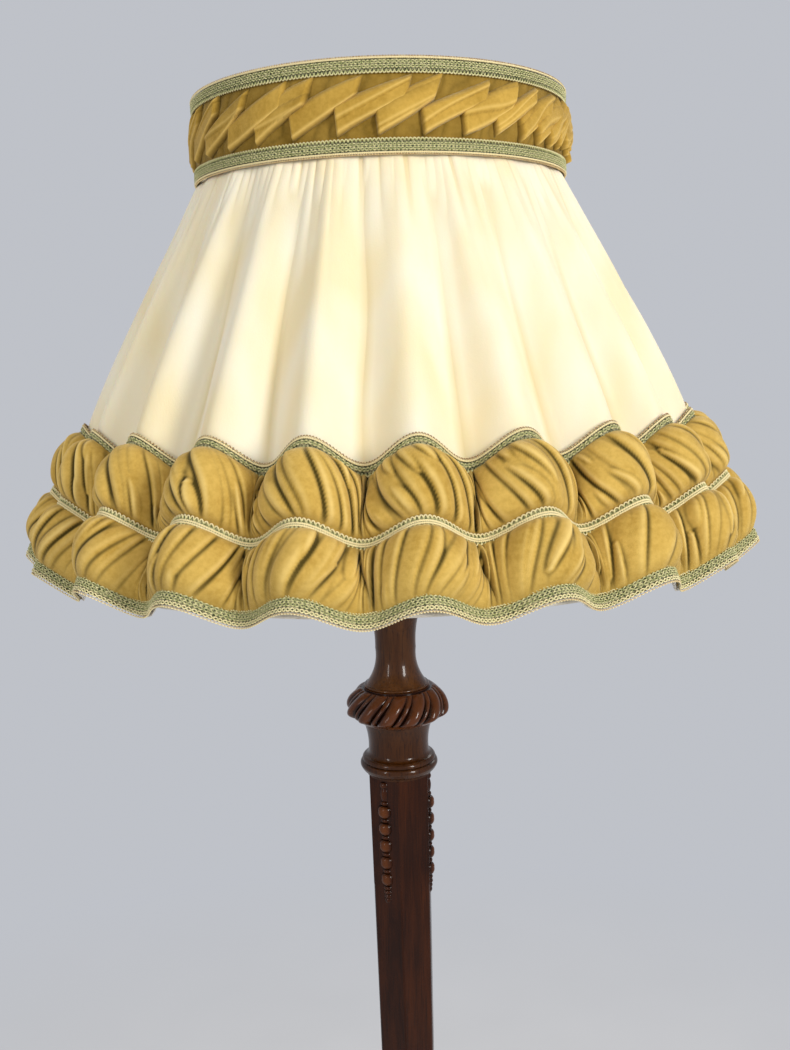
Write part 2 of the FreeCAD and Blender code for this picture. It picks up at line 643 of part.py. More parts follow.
def plunger_springs():
    """A coil under each plunger, made of arcs of a quarter turn."""
    coil = PLUNGER_RADIUS - SPRING_WIRE - SLIP_GAP
    low = spring_z + SPRING_WIRE + 0.1
    high = plunger_z - SPRING_WIRE - 0.1
    quarters = 4 * SPRING_TURNS
    springs = []
    for side in (-1, 1):
        edges = []
        for i in range(quarters):
            turn = [90.0 * (i + half / 2) for half in range(3)]
            rise = [low + (high - low) * (i + half / 2) / quarters for half in range(3)]
            edges.append(Part.Arc(*[polar(coil, a, z) for a, z in zip(turn, rise)]).toShape())
        path = Part.Wire(edges)
        section = Part.Wire(Part.makeCircle(SPRING_WIRE, polar(coil, 0, low), Vector(0, 1, 0)))
        spring = path.makePipeShell([section], True, False)
        spring.translate(Vector(0, side * PLUNGER_SPACING / 2, 0))
        springs.append(spring)
    return springs


def push_bar_span():
    """Where the two knobs begin, at rest: the left one nearly in, the right one out."""
    left = -(BARREL_RADIUS + BAR_CLEARANCE)
    right = BARREL_RADIUS + BAR_CLEARANCE + BAR_TRAVEL
    return left, right


def push_bar():
    left, right = push_bar_span()
    return Part.makeCylinder(BAR_RADIUS, right - left, Vector(left, 0, bar_z), Vector(1, 0, 0))


def push_bar_knobs():
    left, right = push_bar_span()
    knobs = []
    for start, way in ((left, -1), (right, 1)):
        knob = turned(
            (0, 0), (BAR_KNOB_RADIUS - 0.6, 0), (BAR_KNOB_RADIUS, BAR_KNOB_LENGTH * 0.5),
            (BAR_KNOB_RADIUS * 0.7, BAR_KNOB_LENGTH * 0.85, BAR_KNOB_RADIUS * 0.3, BAR_KNOB_LENGTH),
            (0, BAR_KNOB_LENGTH),
        )
        knob.rotate(ORIGIN, Vector(0, 1, 0), 90.0 * way)
        knob.translate(Vector(start, 0, bar_z))
        knobs.append(knob)
    return knobs


def shade_ring(low):
    ring = tube(SHADE_RING_RADIUS, BARREL_RADIUS + RUN_GAP, low, low + SHADE_RING_HEIGHT)
    grip = rod(0.7, low - 1, low + SHADE_RING_HEIGHT + 1)
    grip.translate(Vector(SHADE_RING_RADIUS + 0.2, 0, 0))
    for one in around(grip, 16):
        ring = ring.cut(one)
    return ring


# ---- bulb -------------------------------------------------------------------------------------
def bulb_cap():
    high = bulb_z + BULB_CAP_LENGTH
    low = bulb_z + 2.0
    shell = tube(BULB_CAP_RADIUS, BULB_CAP_RADIUS - BULB_CAP_WALL, low, high)
    for side in (-1, 1):
        start = Vector(0, side * (BULB_CAP_RADIUS - BULB_CAP_WALL / 2), pin_z)
        pin = Part.makeCylinder(PIN_RADIUS, PIN_REACH + BULB_CAP_WALL / 2, start, Vector(0, side, 0))
        shell = shell.fuse(pin)
    return shell


def bulb_insulator():
    low = bulb_z + 0.8
    radius = BULB_CAP_RADIUS - BULB_CAP_WALL
    disc = turned(
        (0, low), (radius - 1.5, low), (BULB_CAP_RADIUS, bulb_z + 2.0), (radius - 0.05, bulb_z + 2.0),
        (radius - 0.05, bulb_z + 4.5), (0, bulb_z + 4.5),
    )
    for side in (-1, 1):
        hole = rod(2.0, bulb_z - 1, bulb_z + 3.0)
        hole.translate(Vector(0, side * PLUNGER_SPACING / 2, 0))
        disc = disc.cut(hole)
    return disc


def bulb_contacts():
    pads = []
    for side in (-1, 1):
        pad = rod(2.0, bulb_z, bulb_z + 3.0)
        pad.translate(Vector(0, side * PLUNGER_SPACING / 2, 0))
        pads.append(pad)
    return pads


def bulb_outline(wall):
    """The envelope's outside, or its inside when wall is the glass's thickness."""
    top = bulb_z + BULB_LENGTH - wall
    belly_z = bulb_z + BULB_LENGTH - BULB_RADIUS
    neck = BULB_CAP_RADIUS - BULB_CAP_WALL - SLIP_GAP - wall
    belly = BULB_RADIUS - wall
    low = bulb_z + 6.0 + wall
    return turned(
        (0, low), (neck, low), (neck, bulb_z + BULB_CAP_LENGTH + 2.0),
        (neck + 4.5, bulb_z + BULB_CAP_LENGTH + 20.0, belly, belly_z),
        (belly * math.sin(math.radians(45)), belly_z + (top - belly_z) * math.sin(math.radians(45)), 0, top),
    )


def bulb_glass():
    return bulb_outline(0).cut(bulb_outline(GLASS_WALL))


def bulb_stem():
    low = bulb_z + 6.0 + GLASS_WALL
    return turned((0, low), (6.0, low), (4.0, low + 5), (2.5, low + 30), (2.2, low + 44), (0, low + 45))


def bulb_filament():
    low = bulb_z + 6.0 + GLASS_WALL + 44
    hoop = wire_piece([(0, low + 1.2), (0, low + 8.0), (14.0, low + 17.0), (14.0, low + 22.0)], 0.35, 3.0)
    other = hoop.mirror(ORIGIN, Vector(1, 0, 0))
    bar = Part.makeCylinder(0.6, 28.0, Vector(-14.0, 0, low + 21.6), Vector(1, 0, 0))
    return hoop.fuse(other).fuse(bar)


# ---- carrier and wire frame --------------------------------------------------------------------
def carrier_washer():
    return tube(WASHER_RADIUS, BARREL_RADIUS + SLIP_GAP, washer_z, washer_z + WASHER_THICKNESS)


def carrier_arms():
    foot = WASHER_RADIUS - CARRIER_ARM_WIRE - 0.6
    low = washer_z + WASHER_THICKNESS - BRAZE
    lug = CARRIER_RING_RADIUS + CARRIER_WIRE + CARRIER_ARM_WIRE - BRAZE
    arm = wire_piece([
        (foot, low), (foot, low + 11.0), (CARRIER_ELBOW, low + 24.0),
        (lug, carrier_ring_z - 30.0), (lug, carrier_ring_z + LUG_RISE),
    ], CARRIER_ARM_WIRE, ARM_BEND)
    return around(arm, CARRIER_ARMS, 90.0)


def carrier_ring():
    return Part.makeTorus(CARRIER_RING_RADIUS, CARRIER_WIRE, Vector(0, 0, carrier_ring_z))


def gimbal_ring():
    return Part.makeTorus(gimbal_radius, GIMBAL_WIRE, Vector(0, 0, gimbal_z))


def gimbal_arms():
    arm = wire_piece([
        (gimbal_radius + GIMBAL_WIRE * 0.5, gimbal_z + GIMBAL_WIRE * 0.5 + 0.6),
        (gimbal_radius + 17.0, gimbal_z + 6.0),
        (frame_radius - FRAME_WIRE + BRAZE, shade_collar_z - 1.0),
    ], CARRIER_ARM_WIRE, ARM_BEND)
    return around(arm, CARRIER_ARMS, 30.0)


def inside_valleys(inset):
    """(radius, height) corners of a line inside the valleys of the cloth, inset square to each run."""
    line = [(COLLAR_R - COLLAR_PLEAT - CLOTH, shade_top_z), (COLLAR_R - COLLAR_PLEAT - CLOTH, shade_collar_z)]
    for z, r, pleat, scallop in stations()[1:]:
        line.append((r - pleat - CLOTH, z - scallop))
    square = []
    for (r1, z1), (r2, z2) in zip(line, line[1:]):
        run = math.hypot(r2 - r1, z2 - z1)
        square.append(((z2 - z1) / run, (r1 - r2) / run))
    moved = []
    for (r, z), before, after in zip(line, square[:1] + square, square + square[-1:]):
        mitre = inset / (1 + before[0] * after[0] + before[1] * after[1])
        moved.append((r + (before[0] + after[0]) * mitre, z + (before[1] + after[1]) * mitre))
    return moved


def bottom_ring_radius():
    """The ring is level with the mean hem, a little above the lowest cloth."""
    return level_on(*inside_valleys(frame_inset)[-2:], hem_z)[0]


def top_ring():
    return Part.makeTorus(frame_radius, FRAME_WIRE, Vector(0, 0, shade_top_z - FRAME_WIRE - 1.0))


def collar_ring():
    return Part.makeTorus(frame_radius, FRAME_WIRE, Vector(0, 0, shade_collar_z))


def bottom_ring():
    return Part.makeTorus(bottom_ring_radius(), FRAME_WIRE, Vector(0, 0, hem_z))


def frame_struts():
    high = shade_top_z - 2 * FRAME_WIRE - 1.0 + BRAZE
    collar, knee, bend = inside_valleys(frame_inset)[1:4]
    ring_r = bottom_ring_radius()
    slant = math.hypot(ring_r - bend[0], bend[1] - hem_z)
    short = (FRAME_WIRE - BRAZE) / slant
    foot = (ring_r - (ring_r - bend[0]) * short, hem_z + (bend[1] - hem_z) * short)
    strut = wire_piece([(frame_radius, high), collar, knee, bend, foot], STRUT_WIRE, STRUT_BEND)
    return around(strut, STRUT_COUNT, 180.0 / LOBES)


# ---- cloth ------------------------------------------------------------------------------------
def stations():
    """Mean height, mean radius, pleat and scallop of the cloth's outside, from the collar down."""
    return [(shade_collar_z, COLLAR_R, COLLAR_PLEAT, 0.0),
            (upper_z, UPPER_R, UPPER_PLEAT, UPPER_SCALLOP),
            (middle_z, MIDDLE_R, MIDDLE_PLEAT, MIDDLE_SCALLOP),
            (hem_z, HEM_R, HEM_PLEAT, HEM_SCALLOP)]


def hang(z):
    """Mean radius, pleat and scallop of the cloth's outside at a mean height."""
    if z >= shade_collar_z:
        return stations()[0][1:]
    above = [s for s in stations() if s[0] >= z][-1]
    below = ([s for s in stations() if s[0] < z] or stations()[-1:])[0]
    share = (above[0] - z) / max(above[0] - below[0], 1e-9)
    return tuple(a + (b - a) * share for a, b in zip(above[1:], below[1:]))


def rippled_line(z, offset):
    """The closed line of the cloth at a mean height, moved outwards by offset. Each fold is an arc out
    and an arc in; a ridge also rises and a valley drops."""
    radius, pleat, scallop = hang(z)
    quarter = 90.0 / LOBES
    edges = []
    for i in range(LOBES):
        ridge = 360.0 * i / LOBES
        for middle, way in ((ridge, 1), (ridge + 2 * quarter, -1)):
            edges.append(Part.Arc(
                polar(radius + offset, middle - quarter, z),
                polar(radius + offset + way * pleat, middle, z + way * scallop),
                polar(radius + offset, middle + quarter, z),
            ).toShape())
    return edges


def skin(lines):
    """Ruled faces between each line and the next, edge by edge."""
    faces = []
    for above, below in zip(lines, lines[1:]):
        faces += [Part.makeRuledSurface(a, b) for a, b in zip(above, below)]
    return faces


def closed_cloth(outer, inner):
    """A closed solid between two stacks of lines that match."""
    faces = skin(outer) + skin(inner) + skin([outer[0], inner[0]]) + skin([outer[-1], inner[-1]])
    shell = Part.Shell(faces)
    shell.sewShape()
    solid = Part.Solid(shell)
    if solid.Volume < 0:
        solid.reverse()
    return solid


def draped(heights, outer_offsets, inner_offset):
    outer = [rippled_line(z, o) for z, o in zip(heights, outer_offsets)]
    inner = [rippled_line(z, inner_offset) for z in heights]
    return closed_cloth(outer, inner)


def pleated_cover():
    return draped([shade_collar_z + 1.5, shade_collar_z, upper_z + 0.5], [0.0] * 3, -CLOTH)


def flounce_backing():
    return draped([upper_z, middle_z, hem_z], [0.0] * 3, -CLOTH)


def cover_lining():
    """Smooth cloth inside the struts, from the collar ring down to the bottom ring."""
    line = inside_valleys(lining_inset)[1:]
    corners = [level_on(line[0], line[1], shade_collar_z - 6.0), line[1], line[2],
               level_on(line[2], line[3], hem_z + 2.0)]
    inner = [(r - LINING, z) for r, z in reversed(corners)]
    return turned(corners[0], *(corners[1:] + inner))


def level_on(upper, lower, z):
    """The (radius, height) point at height z on the line through two such points."""
    share = (upper[1] - z) / (upper[1] - lower[1])
    return upper[0] + (lower[0] - upper[0]) * share, z


def puffed_row(high, low, under_high, under_low):
    """One row of ruched velvet, flat under the trims that hold it and full between them."""
    edge = CLOTH
    inner = SEAT_GAP
    span = (high - under_high) - (low + under_low)
    heights = [high, high - under_high]
    offsets = [inner + edge, inner + edge]
    for share, full in ((0.16, 0.62), (0.38, 0.95), (0.62, 0.95), (0.84, 0.62)):
        heights.append(high - under_high - span * share)
        offsets.append(inner + edge + (PUFF - edge) * full)
    heights += [low + under_low, low]
    offsets += [inner + edge, inner + edge]
    return draped(heights, offsets, inner)


def flounce_upper_velvet():
    return puffed_row(upper_z - 0.3, middle_z + 0.3, UPPER_TRIM / 2, NARROW_TRIM / 2)


def flounce_lower_velvet():
    return puffed_row(middle_z - 0.3, hem_z + 1.0, NARROW_TRIM / 2, WIDE_TRIM - 1.0)


def trim(high, low):
    inner = 2 * SEAT_GAP + CLOTH
    heights = [high] + [z for z in (upper_z, middle_z, hem_z) if low < z < high] + [low]
    return draped(heights, [inner + TRIM_THICKNESS] * len(heights), inner)


def band_backing():
    return tube(COLLAR_R, COLLAR_R - COLLAR_PLEAT - CLOTH, shade_collar_z + 1.8, shade_top_z - 0.5)


def tucked_wire(radius, depth, z, turn):
    """A closed ring of outward arcs that meet in creases."""
    step = 360.0 / BAND_FOLDS
    edges = []
    for i in range(BAND_FOLDS):
        start = turn + i * step
        edges.append(Part.Arc(
            polar(radius - depth, start, z),
            polar(radius, start + step / 2, z),
            polar(radius - depth, start + step, z),
        ).toShape())
    return Part.Wire(edges)


def band_velvet():
    """Folds that lean along the band, flat under the two trims."""
    low, high = shade_collar_z + 2.0, shade_top_z - 0.7
    inner = COLLAR_R + SEAT_GAP
    edge = inner + CLOTH
    held = WIDE_TRIM - 1.0
    span = (high - held) - (low + held)
    wires = [Part.Wire(Part.makeCircle(edge, Vector(0, 0, low)))]
    shares = [(0.06, 0.35), (0.3, 0.88), (0.5, 1.0), (0.7, 0.88), (0.94, 0.35)]
    folds = []
    for share, full in shares:
        z = low + held + span * share
        depth = BAND_FOLD_DEPTH * full
        folds.append(tucked_wire(edge + BAND_BULGE * full, depth, z, -BAND_FOLD_LEAN * share))
    folded = Part.makeLoft(folds, True, True)
    lower_edge = rod(edge, low, low + held + span * 0.06 + 0.5)
    upper_edge = rod(edge, high - held - span * 0.06 - 0.5, high)
    return folded.fuse(lower_edge).fuse(upper_edge).cut(rod(inner, low - 1, high + 1))


def band_trim(low):
    inner = COLLAR_R + 2 * SEAT_GAP + CLOTH
    return tube(inner + TRIM_THICKNESS, inner, low, low + WIDE_TRIM)


# ---- write every piece ------------------------------------------------------------------------
def main():
    os.makedirs("parts", exist_ok=True)
    collar_bore = NARROW_SPIGOT_RADIUS + GLUE_GAP
    lower_bore = SPIGOT_RADIUS + GLUE_GAP
    save("bun_feet", *bun_feet())
    save("base_plinth", base_plinth())
    save("ballast_disc", ballast_disc())
    save("ballast_screws", *ballast_screws())
    save("baize_disc", tube(BAIZE_RADIUS, FLEX_BORE + 3, plinth_z - BAIZE_THICKNESS, plinth_z))
    save("flex_bush", flex_bush())
    save("lower_gadroon_collar", gadrooned_collar(
        lower_collar_z, LOWER_COLLAR_HEIGHT, LOWER_COLLAR_RADIUS, LOWER_COLLAR_REEDS, lower_bore, VASE_FOOT))
    save("vase_turning", vase_turning())
    save("column_shaft", column_shaft())
    save("column_capital", column_capital())
    save("gadroon_collar", gadrooned_collar(
        collar_z, COLLAR_HEIGHT, COLLAR_RADIUS, COLLAR_REEDS, collar_bore, NECK_FOOT + 1.5))
    save("neck_turning", neck_turning())
    save("holder_plate", holder_plate())
    save("nipple", nipple())
    save("locknut", locknut())
    save("holder_cap", holder_cap())
    save("holder_barrel", holder_barrel())
    save("holder_insert", holder_insert())
    save("shade_ring_lower", shade_ring(ring_low_z))
    save("shade_ring_upper", shade_ring(ring_high_z))
    save("push_bar", push_bar())
    save("push_bar_knobs", *push_bar_knobs())
    save("contact_plungers", *contact_plungers())
    save("plunger_springs", *plunger_springs())
    save("bulb_cap", bulb_cap())
    save("bulb_insulator", bulb_insulator())
    save("bulb_contacts", *bulb_contacts())
    save("bulb_glass", bulb_glass())
    save("bulb_stem", bulb_stem())
    save("bulb_filament", bulb_filament())
    save("carrier_washer", carrier_washer())
    save("carrier_arms", *carrier_arms())
    save("carrier_ring", carrier_ring())
    save("gimbal_ring", gimbal_ring())
    save("gimbal_arms", *gimbal_arms())
    save("top_ring", top_ring())
    save("collar_ring", collar_ring())
    save("bottom_ring", bottom_ring())
    save("frame_struts", *frame_struts())
    save("pleated_cover", pleated_cover())
    save("cover_lining", cover_lining())
    save("flounce_backing", flounce_backing())
    save("flounce_upper_velvet", flounce_upper_velvet())
    save("flounce_lower_velvet", flounce_lower_velvet())
    save("flounce_upper_trim", trim(upper_z + UPPER_TRIM / 2, upper_z - UPPER_TRIM / 2))
    save("flounce_middle_trim", trim(middle_z + NARROW_TRIM / 2, middle_z - NARROW_TRIM / 2))
    save("hem_trim", trim(hem_z + WIDE_TRIM, hem_z))
    save("band_backing", band_backing())
    save("band_velvet", band_velvet())
    save("band_upper_trim", band_trim(shade_top_z - WIDE_TRIM))
    save("band_lower_trim", band_trim(shade_collar_z - 0.6))
    print("top of the shade", shade_top_z, "hem", hem_z, "bulb top", bulb_z + BULB_LENGTH)


main()
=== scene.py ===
# %% [markdown]
# # A mahogany floor lamp with a gathered and ruched shade
#
# This lesson dresses the lamp for its portrait. The wood, the brass and the wire come from the CAD
# model and only need finishes. The shade is all cloth, so its pieces are rebuilt here, fold by fold,
# in the same places: a gathered cream cover, two rows of ruched velvet that ripple round the hem, a
# band of flat velvet tucks at the top, and the woven braids that hide every edge.

# %% The frame, and the tools
import math
import bpy
import numpy as np
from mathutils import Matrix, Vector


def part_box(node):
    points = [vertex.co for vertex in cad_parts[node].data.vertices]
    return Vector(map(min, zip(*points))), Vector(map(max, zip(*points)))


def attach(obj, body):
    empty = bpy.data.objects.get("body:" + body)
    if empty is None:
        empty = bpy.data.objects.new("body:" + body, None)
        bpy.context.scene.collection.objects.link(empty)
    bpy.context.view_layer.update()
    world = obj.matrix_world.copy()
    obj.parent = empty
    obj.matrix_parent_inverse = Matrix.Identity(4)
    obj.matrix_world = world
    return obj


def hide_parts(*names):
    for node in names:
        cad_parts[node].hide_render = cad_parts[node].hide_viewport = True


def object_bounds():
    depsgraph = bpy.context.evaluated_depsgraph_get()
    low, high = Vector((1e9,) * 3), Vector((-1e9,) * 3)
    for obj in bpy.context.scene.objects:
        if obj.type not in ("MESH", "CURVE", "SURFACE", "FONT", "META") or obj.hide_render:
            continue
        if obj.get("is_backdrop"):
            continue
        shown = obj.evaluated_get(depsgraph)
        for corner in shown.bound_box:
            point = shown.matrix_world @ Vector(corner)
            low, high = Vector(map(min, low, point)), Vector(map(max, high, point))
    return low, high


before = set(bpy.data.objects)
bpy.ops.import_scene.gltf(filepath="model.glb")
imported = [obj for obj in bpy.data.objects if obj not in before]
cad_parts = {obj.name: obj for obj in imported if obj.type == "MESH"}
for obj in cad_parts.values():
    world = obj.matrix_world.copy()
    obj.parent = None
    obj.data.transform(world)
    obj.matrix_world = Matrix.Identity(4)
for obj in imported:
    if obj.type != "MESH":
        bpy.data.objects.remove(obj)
cad_box = [list(corner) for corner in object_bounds()]

# %% [markdown]
# ## Where the cloth lies
#
# The skirt of the shade ripples. Twenty-two folds run round it: a ridge stands out and rises, a
# valley lies in and drops. All the cloth and braid follow the same rippled surface, so one function
# gives a point of it from an angle and a height, and every piece asks that function. The heights are
# read from the CAD boxes, which keeps both models together.

# %% Levels of the shade, in metres
LOBES = 22
top_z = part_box("band_upper_trim")[1][2]
collar_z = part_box("band_lower_trim")[0][2] + 0.0006
upper_z = collar_z - 0.1783
middle_z = upper_z - 0.0412
hem_z = middle_z - 0.0460
# height, mean radius of the cloth's outside, how far a ridge stands out, how far it rises
STATIONS = np.array([
    [top_z + 0.01, 0.1316, 0.0, 0.0],
    [collar_z, 0.1316, 0.0008, 0.0],
    [upper_z, 0.2161, 0.0065, 0.0090],
    [middle_z, 0.2391, 0.0075, 0.0075],
    [hem_z, 0.2596, 0.0085, 0.0070],
    [hem_z - 0.02, 0.2685, 0.0089, 0.0068],
])


def station(z, column):
    """The mean radius, pleat or rise at a mean height."""
    return np.interp(-np.asarray(z), -STATIONS[:, 0], STATIONS[:, column])


def cloth_point(angle, z, out=0.0):
    """Points of the rippled surface at angles and mean heights, moved outwards by out."""
    angle, z, out = np.broadcast_arrays(angle, z, out)
    wave = np.cos(LOBES * angle)
    r = station(z, 1) + out + station(z, 2) * wave
    return np.stack([r * np.cos(angle), r * np.sin(angle), z + station(z, 3) * wave], -1)


print("top", round(top_z, 4), "collar", round(collar_z, 4), "hem", round(hem_z, 4))

# %% [markdown]
# ## Sheets and threads
#
# Almost everything soft here is one of two shapes. A sheet is a grid of points, joined into faces,
# and the two ends of each row may be welded so that it closes into a ring. A thread is a line of
# points with a small cross-section swept along it. Both are quick to make with arrays of numbers,
# and both can carry extra numbers on their points, such as how deep a point lies in a crease, which
# the materials read later.

# %% Helpers that make meshes from arrays
def make_mesh(name, points, faces, fields=None):
    mesh = bpy.data.meshes.new(name)
    mesh.vertices.add(len(points))
    mesh.vertices.foreach_set("co", np.asarray(points, dtype=np.float32).ravel())
    faces = np.asarray(faces, dtype=np.int32)
    count, corners = faces.shape
    mesh.loops.add(count * corners)
    mesh.loops.foreach_set("vertex_index", faces.ravel())
    mesh.polygons.add(count)
    mesh.polygons.foreach_set("loop_start", np.arange(count, dtype=np.int32) * corners)
    mesh.polygons.foreach_set("use_smooth", np.ones(count, dtype=bool))
    for key, values in (fields or {}).items():
        layer = mesh.attributes.new(key, "FLOAT", "POINT")
        layer.data.foreach_set("value", np.asarray(values, dtype=np.float32).ravel())
    mesh.update(calc_edges=True)
    piece = bpy.data.objects.new(name, mesh)
    bpy.context.scene.collection.objects.link(piece)
    return piece


def grid_faces(rows, columns, closed, start=0, flip=False):
    """Faces of a grid whose points run along each row in turn. closed welds each row's ends."""
    j = np.arange(rows - 1)[:, None]
    i = np.arange(columns if closed else columns - 1)[None, :]
    ahead = (i + 1) % columns
    quad = np.stack([j * columns + i, j * columns + ahead,
                     (j + 1) * columns + ahead, (j + 1) * columns + i], -1).reshape(-1, 4) + start
    return quad[:, ::-1] if flip else quad


def thicken(piece, thickness, offset=-1.0):
    solid = piece.modifiers.new("thickness", "SOLIDIFY")
    solid.thickness = thickness
    solid.offset = offset
    return piece


def unit(v):
    return v / np.maximum(np.linalg.norm(v, axis=-1, keepdims=True), 1e-12)


def grid_normals(points, closed=True):
    """Outward normals of a grid [rows, columns, 3] whose rows run down and columns run round."""
    if closed:
        along = np.roll(points, -1, 1) - np.roll(points, 1, 1)
    else:
        along = np.gradient(points, axis=1)
    down = np.gradient(points, axis=0)
    return unit(np.cross(down, along))


class Threads:
    """Collects swept threads, and turns them into one mesh."""

    def __init__(self):
        self.points, self.faces, self.tint, self.count = [], [], [], 0

    def add(self, line, outward, radius, closed=True, sides=5, tint=0.0, flatten=1.0):
        """Sweeps a cross-section along line [n, 3]. outward [n, 3] says which way is off the cloth."""
        if closed:
            along = unit(np.roll(line, -1, 0) - np.roll(line, 1, 0))
        else:
            along = unit(np.gradient(line, axis=0))
        side = unit(np.cross(along, outward))
        up = unit(np.cross(side, along))
        turn = np.arange(sides) * 2 * math.pi / sides
        radius = np.broadcast_to(radius, len(line))[:, None, None]
        ring = (line[:, None, :] + radius * (np.cos(turn)[None, :, None] * side[:, None, :]
                + flatten * np.sin(turn)[None, :, None] * up[:, None, :]))
        n = len(line)
        a = np.arange(n if closed else n - 1)[:, None]
        b = np.arange(sides)[None, :]
        ahead = (a + 1) % n
        beside = (b + 1) % sides
        quad = np.stack([a * sides + b, ahead * sides + b, ahead * sides + beside, a * sides + beside], -1)
        self.faces.append(quad.reshape(-1, 4)[:, ::-1] + self.count)
        self.points.append(ring.reshape(-1, 3))
        self.tint.append(np.broadcast_to(np.asarray(tint, dtype=float), n).repeat(sides))
        self.count += n * sides

    def mesh(self, name):
        return make_mesh(name, np.concatenate(self.points), np.concatenate(self.faces),
                         {"tint": np.concatenate(self.tint)})


def smooth_noise(rng, *shape_and_cells):
    """A smooth random function of one or two wrapped coordinates, from a table of random knots."""
    table = rng.uniform(-1, 1, shape_and_cells)

    def at(*coordinates):
        total = table
        weights, corners = [], []
        for size, x in zip(shape_and_cells, coordinates):
            base = np.floor(x)
            part = x - base
            weights.append(part * part * (3 - 2 * part))
            corners.append(base.astype(int) % size)
        if len(coordinates) == 1:
            a, w = corners[0], weights[0]
            return total[a] * (1 - w) + total[(a + 1) % shape_and_cells[0]] * w
        (a, b), (u, v) = corners, weights
        a1, b1 = (a + 1) % shape_and_cells[0], (b + 1) % shape_and_cells[1]
        low = total[a, b] * (1 - u) + total[a1, b] * u
        high = total[a, b1] * (1 - u) + total[a1, b1] * u
        return low * (1 - v) + high * v

    return at


print("helpers ready")

# %% [markdown]
# ## The camera
#
# The rings of the shade are circles in life and ellipses in the photograph. How fast they flatten
# from the hem to the top gives the camera's height and tilt, and how much the near folds outgrow the
# far ones gives its distance: it stood close, about 84 cm from the pole, leaned a little, and looked
# a little past the pole.

# %% Camera
CAMERA_AZIMUTH = math.radians(4.0)
CAMERA_DISTANCE = 0.842
CAMERA_Z = top_z - 0.175
PITCH = math.radians(9.25)
ROLL = math.radians(1.8)
HEADING = CAMERA_AZIMUTH - math.radians(0.18)
FOCAL_PIXELS = 1100.0

right = np.array([math.cos(HEADING), math.sin(HEADING), 0.0])
ahead = np.array([-math.sin(HEADING) * math.cos(PITCH),
                  math.cos(HEADING) * math.cos(PITCH), -math.sin(PITCH)])
above = np.cross(right, ahead)
rolled_right = math.cos(ROLL) * right - math.sin(ROLL) * above
rolled_up = math.sin(ROLL) * right + math.cos(ROLL) * above

camera = bpy.data.objects.new("camera", bpy.data.cameras.new("camera"))
bpy.context.scene.collection.objects.link(camera)
camera.data.sensor_width = 36.0
camera.data.lens = FOCAL_PIXELS / 1050 * 36.0
camera.data.clip_start = 0.05
camera.data.clip_end = 100.0
from mathutils import Matrix, Vector
turn = Matrix([[rolled_right[k], rolled_up[k], -ahead[k]] for k in range(3)]).to_4x4()
place = Vector((CAMERA_DISTANCE * math.sin(CAMERA_AZIMUTH),
                -CAMERA_DISTANCE * math.cos(CAMERA_AZIMUTH), CAMERA_Z))
camera.matrix_world = Matrix.Translation(place) @ turn
bpy.context.scene.camera = camera
print("camera at", [round(c, 3) for c in place], "lens", round(camera.data.lens, 1))
